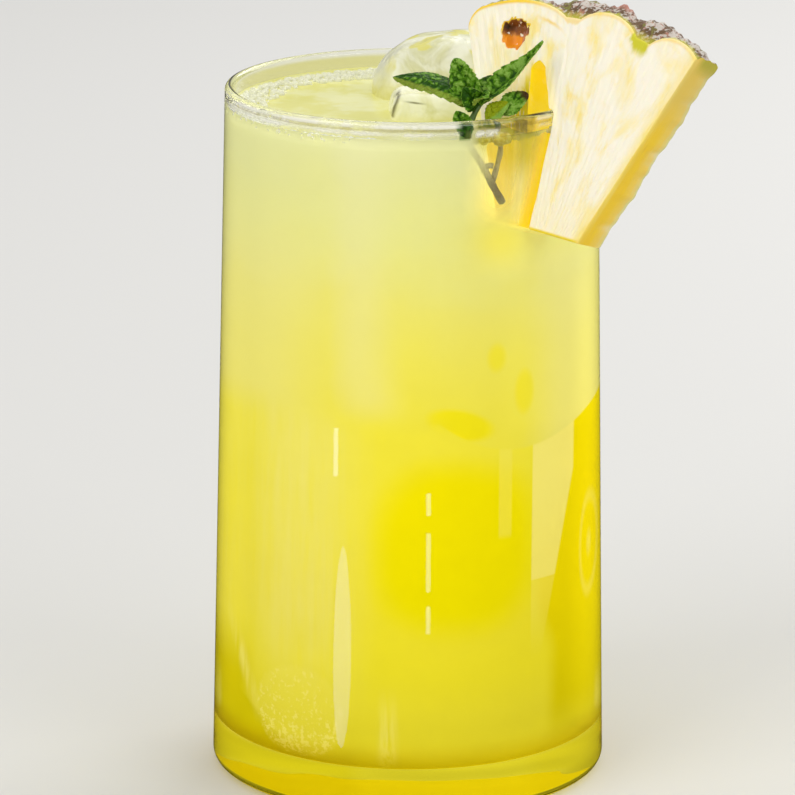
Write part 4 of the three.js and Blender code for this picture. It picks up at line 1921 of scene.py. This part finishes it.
    def shell(self) -> Patch:
        """The six sides of the slice: two faces, the tip cut, the rind and two cut sides.

        Returns:
            The closed shell.
        """
        edge_share = np.array([0, 0.15, 0.4, 0.7, 1.0]) * self.edge
        length = self.valley_radius - self.tip_cut
        middle = np.linspace(0.012, 0.988, self.length_steps)
        along = np.unique(np.concatenate([edge_share / length, middle, 1 - edge_share / length]))
        corner = edge_share / np.radians(1) / self.valley_radius * 1.4
        fan = np.linspace(-self.inner_angle + 0.8, self.outer_angle - 0.8, self.fan_steps)
        angle = np.unique(np.concatenate([-self.inner_angle + corner, fan, self.outer_angle - corner]))
        depth = np.linspace(-self.round_depth, self.round_depth, self.depth_steps)
        sides = [self.side(angle, along, np.array([level])) for level in (-1.0, 1.0)]
        sides += [self.side(angle, np.array([end]), depth, int(end)) for end in (0.0, 1.0)]
        ends = (-self.inner_angle, self.outer_angle)
        sides += [self.side(np.array([end]), along, depth) for end in ends]
        return joined(sides)

    def side(self, angle: Array, along: Array, depth: Array, finish: int = 0) -> Patch:
        """One side of the slice: a grid over the two of its three shares that vary.

        Args:
            angle: Angle about the apex.
            along: 0 at the tip cut to 1 at the rind.
            depth: -1 at the front face to 1 at the back.
            finish: The number of its material.

        Returns:
            The side.
        """
        grid = np.meshgrid(angle, along, depth, indexing="ij")
        points = self.solid_points(*grid)
        sizes = [len(share) for share in (angle, along, depth) if len(share) > 1]
        return Patch(points, grid_quads(*sizes), finish=finish)

    def wall_cutter(self) -> Patch:
        """A ring along the glass wall, thicker than it on both sides and rounded over the rim.

        Returns:
            The shape.
        """
        half = self.tumbler.wall / 2 + self.slit.clearance
        lip_z = self.tumbler.height - self.tumbler.wall / 2
        bottom = self.tumbler.height * 0.7
        middle = self.tumbler.middle_radius(bottom)
        lip = arc((self.tumbler.middle_radius(lip_z), lip_z), half, 0, 180, 12)
        inside, outside = [middle - half, bottom], [middle + half, bottom]
        return lathe(np.concatenate([[inside, outside], lip, [inside]]), 180)

    def slot_cutter(self) -> Patch:
        """The open slit's outline, narrowed to a soft point at its top, carried through the slice.

        Returns:
            The shape.
        """
        slit = self.slit
        top = arc((0.0, 0.0), slit.top_radius, 0, 180, 16)
        top[:, 0] *= 1 - 0.5 * (top[:, 1] / slit.top_radius) ** 2
        outline = np.concatenate([np.array([*slit.foot, slit.rim]), top + slit.top])
        middle = outline.mean(axis=0)
        reach = self.thickness
        rows = [np.insert(outline, 1, y, axis=1) for y in (-reach, reach)]
        ends = [np.tile([middle[0], y, middle[1]], (len(outline), 1)) for y in (-reach, reach)]
        points = np.concatenate([ends[0], rows[0], rows[1], ends[1]])
        return Patch(points, grid_quads(4, len(outline), ring=True))

    @staticmethod
    def cut(piece: Object, cutter: Mesh, finish: Material) -> None:
        """Cuts one mesh out of a piece and applies the cut.

        Args:
            piece: The piece, whose mesh is replaced, with faces of five corners or more split.
            cutter: The mesh that is taken out of it.
            finish: The material of the cut faces.
        """
        cutter.materials.append(finish)
        tool = placed("cutter", cutter)
        modifier = piece.modifiers.new("cut", "BOOLEAN")
        modifier.operation = "DIFFERENCE"
        modifier.solver = "EXACT"
        modifier.material_mode = "TRANSFER"
        modifier.object = tool
        splitter = piece.modifiers.new("triangles", "TRIANGULATE")
        splitter.min_vertices = 5
        graph = bpy.context.evaluated_depsgraph_get()
        result = bpy.data.meshes.new_from_object(piece.evaluated_get(graph))
        piece.modifiers.clear()
        piece.data = result
        bpy.data.objects.remove(tool)

    def mark(self, mesh: Mesh) -> None:
        """Marks each point of the cut slice, in metres, with what the materials need.

        Args:
            mesh: The slice's mesh.
        """
        points = np.empty(len(mesh.vertices) * 3, np.float32)
        mesh.vertices.foreach_get("co", points)
        local = (points.reshape(-1, 3) / MM - np.array(self.place.origin())) @ np.array(self.place.turn())
        p, y, q = local.T
        angle = np.degrees(np.arctan2(p, q))
        depth = np.clip(2 * y / self.thickness, -1, 1)
        rind = self.rind_radius(angle, depth)
        pit = np.where(y < -1.0, self.pit_depth(p, q), 0.0)
        raised = (rind - self.valley_radius) / self.tallest_eye
        nothing = np.zeros_like(p)
        write_mark(mesh, "fruit", np.stack([rind - np.hypot(p, q), pit, nothing], axis=-1))
        write_mark(mesh, "rind", np.stack([raised, self.bract_share(angle, depth), nothing], axis=-1))

    def build(self) -> Object:
        """The slice: its shell, cut for the wall and its slot, marked and dressed.

        Returns:
            The piece.
        """
        turn, origin = self.place.turn(), self.place.origin()
        materials = [Flesh(self.place).material(), Rind(self.place).material()]
        shell = self.shell().moved(turn, origin)
        piece = piece_from("pineapple", shell, materials, crease=self.crease)
        juicy = JuicyCut("juicy_cut").material()
        self.cut(piece, mesh_from("ring", self.wall_cutter()), juicy)
        self.cut(piece, mesh_from("slot", self.slot_cutter().moved(turn, origin)), juicy)
        piece.data.set_sharp_from_angle(angle=np.radians(self.crease))
        self.mark(piece.data)
        log.info("pineapple after its cuts: %d faces", len(piece.data.polygons))
        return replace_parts(piece, "pineapple_slice")


# Mint


@dataclass(frozen=True)
class Leaf:
    """One mint leaf, from its base to its tip, about the point where the leaves meet."""

    base: Place
    tip: Place
    up: Place
    width: float
    arch: float
    fold: float
    tone: float = 0.5
    belly: float = 0.85
    fullness: float = 0.6
    burnt: float = 0.0


@dataclass(frozen=True)
class Stem:
    """One stem: the points of its route, and its radius at its foot and at its top."""

    route: tuple[Place, ...]
    foot: float
    top: float


class MintSkin(Shader):
    """A fresh leaf: deep green above, with painted shade in its veins and painted highlight on its
    blisters, and paler green below.
    """

    # painted shade in the veins and painted highlight on the blisters, the lightest also flecking the
    # underside
    dark: Colour = colour(34, 74, 0)
    middle: Colour = colour(84, 132, 14)
    light: Colour = colour(150, 188, 84)
    yellow: Colour = colour(146, 160, 18)
    under: Colour = colour(150, 166, 56)
    burnt: Colour = colour(70, 44, 22)

    def material(self) -> Material:
        """The leaf's material.

        Returns:
            The material. The mark `leaf` gives the place along and across the leaf and its tone,
            the mark `blade` whether it is the upper face, how far it stands above its veins and
            whether the leaf's tip is burnt, and the mark `place` where it lies in millimetres.
        """
        along, across, tone = self.mark("leaf")
        upper, vein, burn = self.mark("blade")
        fleck = self.noise(self.places(), 1.4, 3.0, 0.6)
        soft = self.noise(self.places(), 0.3, 2.0)
        blister = self.blister(fleck)
        height = blister * 0.7 + vein * 0.3 + (soft - 0.5) * 1.1 + (tone - 0.45) * 1.3
        folded = across.rise(-0.5, -0.72) * tone.rise(0.3, 0.26)
        # darker in the veins and lighter on the blisters and their flecks: painted shade and painted
        # highlight
        face = self.painted(
            self.dark,
            (height.rise(0.1, 0.5), self.middle),
            ((height + fleck * 0.8).rise(0.75, 1.2) * 0.7, self.light),
            (folded * (fleck * 0.6 + 0.3), self.under),
            (tone.rise(0.8, 0.95) * across.rise(0.5, 0.1), self.yellow),
        )
        below = self.blend(fleck.rise(0.3, 0.7), self.under, self.light)
        shown = self.painted(
            below,
            (upper, face),
            (across.size().rise(0.94, 1.0) * 0.15, self.under),
            (burn * (along + fleck * 0.3).rise(0.85, 1.05), self.burnt),
        )
        return self.finished({
            "Base Color": shown,
            "Roughness": fleck * 0.2 + 0.4,
            "Specular IOR Level": 0.12,
            "Subsurface Weight": 0.12,
            "Subsurface Radius": (0.3, 0.9, 0.15),
            "Subsurface Scale": 0.5 * MM,
            "Normal": self.bump(blister.above(0.0) * 0.85 + fleck * 0.15, 0.45),
        })

    def blister(self, fleck: Value) -> Value:
        """The small blisters of the blade.

        Args:
            fleck: Fine noise.

        Returns:
            1 in the middle of each blister, falling to the vein about it, on cells of the leaf's
            own millimetres that are bent by noise.
        """
        place = self.vector(*self.mark("place"))
        a, b, c = self.parts(place)
        bend = self.noise(place, 0.8, 2.0) - 0.5
        bent = self.vector(a + bend * 2.4, b + (fleck - 0.5) * 1.6, c - bend * 1.2)
        return 1 - self.cells(bent, 1.0) * 1.2


class StemSkin(Shader):
    """A cut mint stem: green at its top, pale olive below and dark brown at its wet foot."""

    brown: Colour = colour(96, 72, 18)
    straw: Colour = colour(190, 172, 106)
    green: Colour = colour(64, 96, 22)
    fleck: Colour = colour(78, 54, 16)

    def material(self) -> Material:
        """The stem's colour by height, with brown flecks.

        Returns:
            The material.
        """
        _, _, z = self.xyz
        fleck = self.noise(self.places(), 1.1, 3.0, 0.6)
        tone = self.painted(
            self.brown,
            (z.rise(117.5, 120.5), self.straw),
            (z.rise(126.5, 128.5), self.green),
            (fleck.rise(0.55, 0.75) * 0.6, self.fleck),
        )
        return self.finished({
            "Base Color": tone,
            "Roughness": 0.45,
            "Normal": self.bump(fleck, 0.2),
        })


@dataclass
class MintSprig:
    """One sprig: a forked stem and nine leaves."""

    heart: Place = (12.2, -24.2, 131.2)
    thickness: float = 0.34
    length_steps: int = 96
    width_steps: int = 40
    teeth: float = 9.0
    tooth_depth: float = 0.11
    cell: float = 1.45
    least_half: float = 0.12
    stem_steps: int = 60
    knot: float = 0.08
    leaves: tuple[Leaf, ...] = (
        Leaf((-0.3, 0, 0), (-15.6, 7.2, 3.6), (0.1, -0.36, 0.93), 7.2, 2.2, -14, 0.25),
        Leaf((-0.4, 0.3, 0.4), (-4.5, 4, 7.8), (-0.5, -0.75, 0.4), 5.6, 0.7, 16, 0.45),
        Leaf((0.2, 0.2, 0.3), (11.3, 1.2, 11.6), (-0.62, -0.5, 0.6), 5.4, -1.1, 30, 0.5, 0.62, 0.95),
        Leaf((1.2, -1.7, -2.5), (5.2, -1.1, 0.8), (-0.5, -0.8, 0.3), 3.8, 0.4, 14, 0.95),
        Leaf((4, -1.1, -1.4), (8.7, -0.2, 2.3), (-0.4, -0.85, 0.35), 4.4, 0.6, 18, 0.55, burnt=1.0),
        Leaf((-2.2, -3, -5), (-4.3, -2.6, -0.5), (0.3, -0.9, 0.2), 3.8, 0.4, 14, 0.4),
        Leaf((0, -0.1, -0.2), (-3.1, -2.2, 3.6), (-0.3, -0.85, 0.5), 4.6, 0.8, 16, 0.3),
        Leaf((0.1, -0.1, -0.2), (1.7, -3.3, 2.4), (0.1, -0.6, 0.8), 4.2, 0.8, 14, 0.35),
        Leaf((0, 0.2, 0), (2.6, 5.4, 4.2), (0, -0.5, 0.85), 4.8, 0.8, 12, 0.4),
    )
    stems: tuple[Stem, ...] = (
        Stem(((4.1, -1.8, -17.6), (2.3, -2.4, -14.2), (0.4, -3, -10.4), (-2.2, -3.4, -5.7),
              (-1.5, -2, -2.6), (0, 0, 0.4)), foot=0.66, top=0.48),
        Stem(((2.1, -2.4, -13.8), (3.5, -2.1, -7.7), (2.9, -2.2, -5.4), (3.2, -1.8, -2.8),
              (3.9, -1.2, -1.2)), foot=0.46, top=0.38),
        Stem(((0.6, -3, -10.8), (1.5, -3.2, -10.2), (2.3, -3.3, -10.3)), foot=0.45, top=0.5),
    )

    def half_width(self, leaf: Leaf, along: Array) -> Array:
        """Half a leaf's width: a belly nearest its base, cut back after each tooth.

        Args:
            leaf: Its sizes.
            along: 0 at its base to 1 at its tip.

        Returns:
            The half width.
        """
        belly = np.clip(np.sin(np.pi * along**leaf.belly), 0, 1) ** leaf.fullness
        tooth = 1 - self.tooth_depth * ((along * self.teeth) % 1) ** 1.5
        return np.maximum(self.least_half, leaf.width / 2 * belly * tooth)

    def dome(self, leaf: Leaf, length: float, along: Array, across: Array) -> Array:
        """How far the blade stands above its veins.

        Args:
            leaf: Its sizes.
            length: Its length.
            along: 0 at its base to 1 at its tip.
            across: -1 at one edge to 1 at the other.

        Returns:
            From 0 on a vein to 1: the root of a sine between the side veins, which run aslant, times
            one between the small veins that join them, staggered from row to row, and 0 on the rib.
        """
        veins = max(4, round(length / self.cell))
        rows = max(1.2, leaf.width / 2 / self.cell)
        phase = along * veins - np.abs(across) * 1.3
        stagger = 0.5 * (np.floor(phase) % 2)
        cross = np.abs(np.sin(np.pi * (np.abs(across) * rows + stagger + 0.1)))
        rib = np.clip(1 - np.abs(across) * 7, 0, 1)
        return np.abs(np.sin(np.pi * phase)) ** 0.6 * (0.55 + 0.45 * cross**0.6) * (1 - rib)

    def leaf_patch(self, leaf: Leaf) -> Patch:
        """One leaf, two faces a thickness apart that meet along its edge.

        Args:
            leaf: Its places and sizes.

        Returns:
            The surface: along the midrib an arch, across it a fold and a ripple, and the blade domes
            up between its veins. Each point carries the marks that its skin reads.
        """
        share = np.linspace(0, 1, self.length_steps + 1)
        sides = np.linspace(-1, 1, self.width_steps + 1)
        along, across = np.meshgrid(share, sides, indexing="ij")
        base, tip, up = (np.array(given, float) for given in (leaf.base, leaf.tip, leaf.up))
        span = tip - base
        length = np.linalg.norm(span)
        side = np.cross(span / length, up)
        side /= np.linalg.norm(side)
        up = np.cross(side, span / length)
        half = self.half_width(leaf, along)
        dome = self.dome(leaf, length, along, across)
        quilt = (dome - 0.5) * 0.16 * self.cell * np.sqrt(half / half.max()) * (1 - across**6)
        ripple = 0.25 * np.sin(along * 9 + across * 2) * np.abs(across)
        arch = leaf.arch * 4 * along * (1 - along)
        fold = half * np.sqrt(across**2 + 0.01) * np.tan(np.radians(leaf.fold))
        lift = arch + fold + ripple + quilt
        middle = base + along[..., None] * span + (across * half)[..., None] * side
        ends = np.clip(along * 30, 0, 1) * np.clip((1 - along) * 30, 0, 1)
        body = self.thickness / 2 * np.sqrt(np.clip(1 - across**8, 0, 1)) * ends
        still = np.ones_like(along)
        marks = {"leaf": np.stack([along, across, leaf.tone * still], axis=-1),
                 "place": np.stack([along * length, across * half, tip[0] * still], axis=-1)}
        quads = grid_quads(self.length_steps + 1, self.width_steps + 1)
        faces = []
        for sign in (1.0, -1.0):
            points = middle + (lift + sign * body)[..., None] * up
            blade = np.stack([(0.5 + sign / 2) * still, dome, leaf.burnt * still], axis=-1)
            faces.append(Patch(points, quads, {**marks, "blade": blade}))
        return joined(faces)

    def build_leaves(self) -> Object:
        """The nine leaves as one piece.

        Returns:
            The piece.
        """
        leaves = joined([self.leaf_patch(leaf) for leaf in self.leaves])
        leaves = leaves.moved(Matrix.Identity(3), self.heart)
        piece = piece_from("mint_leaves", leaves, [MintSkin("mint_leaf").material()])
        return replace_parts(piece, "mint_sprig")

    def build_stems(self) -> Object:
        """The forked stem as one piece: tubes that thicken at regular knots.

        Returns:
            The piece.
        """
        share = np.linspace(0, 1, self.stem_steps)
        knots = self.knot * np.sin(share * 21) ** 2
        stems = joined([tube(stem.route, stem.foot + (stem.top - stem.foot) * share + knots)
                        for stem in self.stems]).moved(Matrix.Identity(3), self.heart)
        piece = piece_from("mint_stems", stems, [StemSkin("mint_stem").material()])
        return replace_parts(piece, "mint_sprig")


# The studio


@dataclass(frozen=True)
class SoftLight:
    """A flat patch of soft light that looks at a point."""

    name: str
    place: Place
    target: Place
    width: float
    height: float
    watts: float
    tone: Colour = WHITE
    reflection_only: bool = False
    shape: str = "RECTANGLE"

    def build(self) -> Object:
        """Sets the lamp up. A reflection card lights nothing and only shows in polished surfaces.

        Returns:
            The lamp.
        """
        data = bpy.data.lights.new(self.name, "AREA")
        data.shape = self.shape
        data.color = self.tone
        data.size = self.width * MM
        data.size_y = self.height * MM
        data.energy = self.watts
        lamp = placed(self.name, data)
        place = Vector(self.place) * MM
        lamp.location = place
        lamp.rotation_euler = (Vector(self.target) * MM - place).to_track_quat("-Z", "Y").to_euler()
        lamp.visible_camera = False
        lamp.visible_transmission = False
        lamp.visible_diffuse = not self.reflection_only
        return lamp


def dash_card(name: str, rise: float, height: float, watts: float) -> SoftLight:
    """A reflection card for one dash of the broken bright line on the right.

    Args:
        name: The card's name.
        rise: How far it stands above the lowest one.
        height: Its own height.
        watts: Its power.

    Returns:
        The card, at the dashes' shared place and width.
    """
    place, target = (22.8, -134, 11 + rise), (3.7, -35.6, 38 + rise)
    return SoftLight(name, place, target, 6, height, watts, (0.4, 0.5, 1.0), reflection_only=True)


@dataclass
class Studio:
    """A pale floor, soft light and the camera at the photograph's angle."""

    floor_radius: float = 4000.0
    floor_gap: float = 0.3
    floor_tone: Colour = (0.62, 0.615, 0.6)
    floor_roughness: float = 0.7
    camera_place: Place = (0.0, -938.453, 324.641)
    camera_forward: Place = (-0.002358, 0.965151, -0.261684)
    camera_roll: float = -0.32
    lens: float = 235.245
    sensor_width: float = 36.0
    clip: Pair = (0.05, 50.0)
    world_strength: float = 0.8
    # the surround's tones and the heights of direction where they lie, dark below and pale above
    world_stops: Stops = ((0.06, (0.02, 0.02, 0.02)), (0.35, (1.0, 0.995, 0.98)))
    lights: tuple[SoftLight, ...] = (
        SoftLight("key_light", (-700, -700, 800), (0, 0, 60), 700, 700, 5.2),
        SoftLight("fill_light", (800, -700, 500), (0, 0, 60), 600, 600, 2.8),
        SoftLight("back_light", (500, 700, 700), (0, 0, 80), 800, 600, 5.0),
        SoftLight("wedge_card", (-37, -65, 21), (-11.8, -33.6, 34), 10, 38, 0.0034, (0.25, 0.4, 1.0),
                  reflection_only=True, shape="ELLIPSE"),
        SoftLight("small_card", (-82, -105, 44.5), (-13.2, -32.3, 72), 6, 10, 0.0011, (0.5, 0.6, 1.0),
                  reflection_only=True),
        dash_card("upper_dash", rise=24, height=4.4, watts=0.0004),
        dash_card("middle_dash", rise=12, height=12, watts=0.001),
        dash_card("lower_dash", rise=0, height=5.5, watts=0.0005),
    )

    def floor(self) -> Object:
        """A plain pale floor, a flat disc.

        Returns:
            The floor.
        """
        shader = Shader("pale_floor")
        surface = shader.principled({"Base Color": self.floor_tone, "Roughness": self.floor_roughness})
        profile = np.array([[0.0, -self.floor_gap], [self.floor_radius, -self.floor_gap]])
        mesh = mesh_from("floor", lathe(profile, 96))
        mesh.flip_normals()
        mesh.materials.append(shader.finished(surface))
        floor = placed("floor", mesh)
        floor.visible_glossy = False
        return floor

    def world(self) -> None:
        """An even pale surround that darkens below."""
        world = bpy.data.worlds.new("pale_room")
        world.use_nodes = True
        tree = world.node_tree
        source = tree.nodes.new("ShaderNodeTexCoord")
        parts = tree.nodes.new("ShaderNodeSeparateXYZ")
        ramp = tree.nodes.new("ShaderNodeValToRGB")
        tree.links.new(source.outputs["Generated"], parts.inputs[0])
        tree.links.new(parts.outputs["Z"], ramp.inputs[0])
        for element, (position, tone) in zip(ramp.color_ramp.elements, self.world_stops):
            element.color = (*tone, 1.0)
            element.position = position
        background = tree.nodes["Background"]
        tree.links.new(ramp.outputs[0], background.inputs["Color"])
        background.inputs["Strength"].default_value = self.world_strength
        bpy.context.scene.world = world

    def camera(self) -> Object:
        """The camera where the photograph was taken from.

        Returns:
            The camera.
        """
        data = bpy.data.cameras.new("camera")
        data.lens = self.lens
        data.sensor_width = self.sensor_width
        data.clip_start, data.clip_end = self.clip
        camera = placed("camera", data)
        camera.location = Vector(self.camera_place) * MM
        forward = Vector(self.camera_forward).normalized()
        aim = forward.to_track_quat("-Z", "Y")
        roll = Matrix.Rotation(np.radians(self.camera_roll), 3, forward).to_quaternion()
        camera.rotation_mode = "QUATERNION"
        camera.rotation_quaternion = roll @ aim
        bpy.context.scene.camera = camera
        return camera

    def build(self) -> None:
        """The floor, the surround, the lights and the camera."""
        self.floor()
        self.world()
        self.camera()
        for light in self.lights:
            light.build()
        bpy.context.scene.view_settings.view_transform = "Standard"


def write_sizes() -> None:
    """Brings the view layer up to date."""
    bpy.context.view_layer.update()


def main() -> None:
    """Builds the studio, then the drink piece by piece."""
    _, glass_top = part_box("glass")
    tumbler = Tumbler(height=glass_top.z / MM, base_radius=glass_top.x / MM)
    hang = SliceFrame(tumbler)
    drink = Drink(tumbler, hang)
    mound = IceLump("ice_mound", "ice_back", IceKind.MILKY, middle=(8.2, 16, 123.2),
                    half=(16.4, 10.8, 13.6), turn=(4, 6, 8), roundness=2.3)
    cube = IceLump("ice_cube", "ice_front", IceKind.CLEAR, middle=(3.1, -4.4, 120),
                   half=(7.6, 6.4, 9.6), turn=(0, 5, 4), roundness=6.5)
    sprig = MintSprig()
    Studio().build()
    tumbler.build()
    drink.build()
    drink.build_core()
    mound.build()
    cube.build()
    Froth(tumbler).build()
    PineappleSlice(tumbler, hang).build()
    sprig.build_leaves()
    sprig.build_stems()
    write_sizes()


if __name__ == "__main__":
    main()
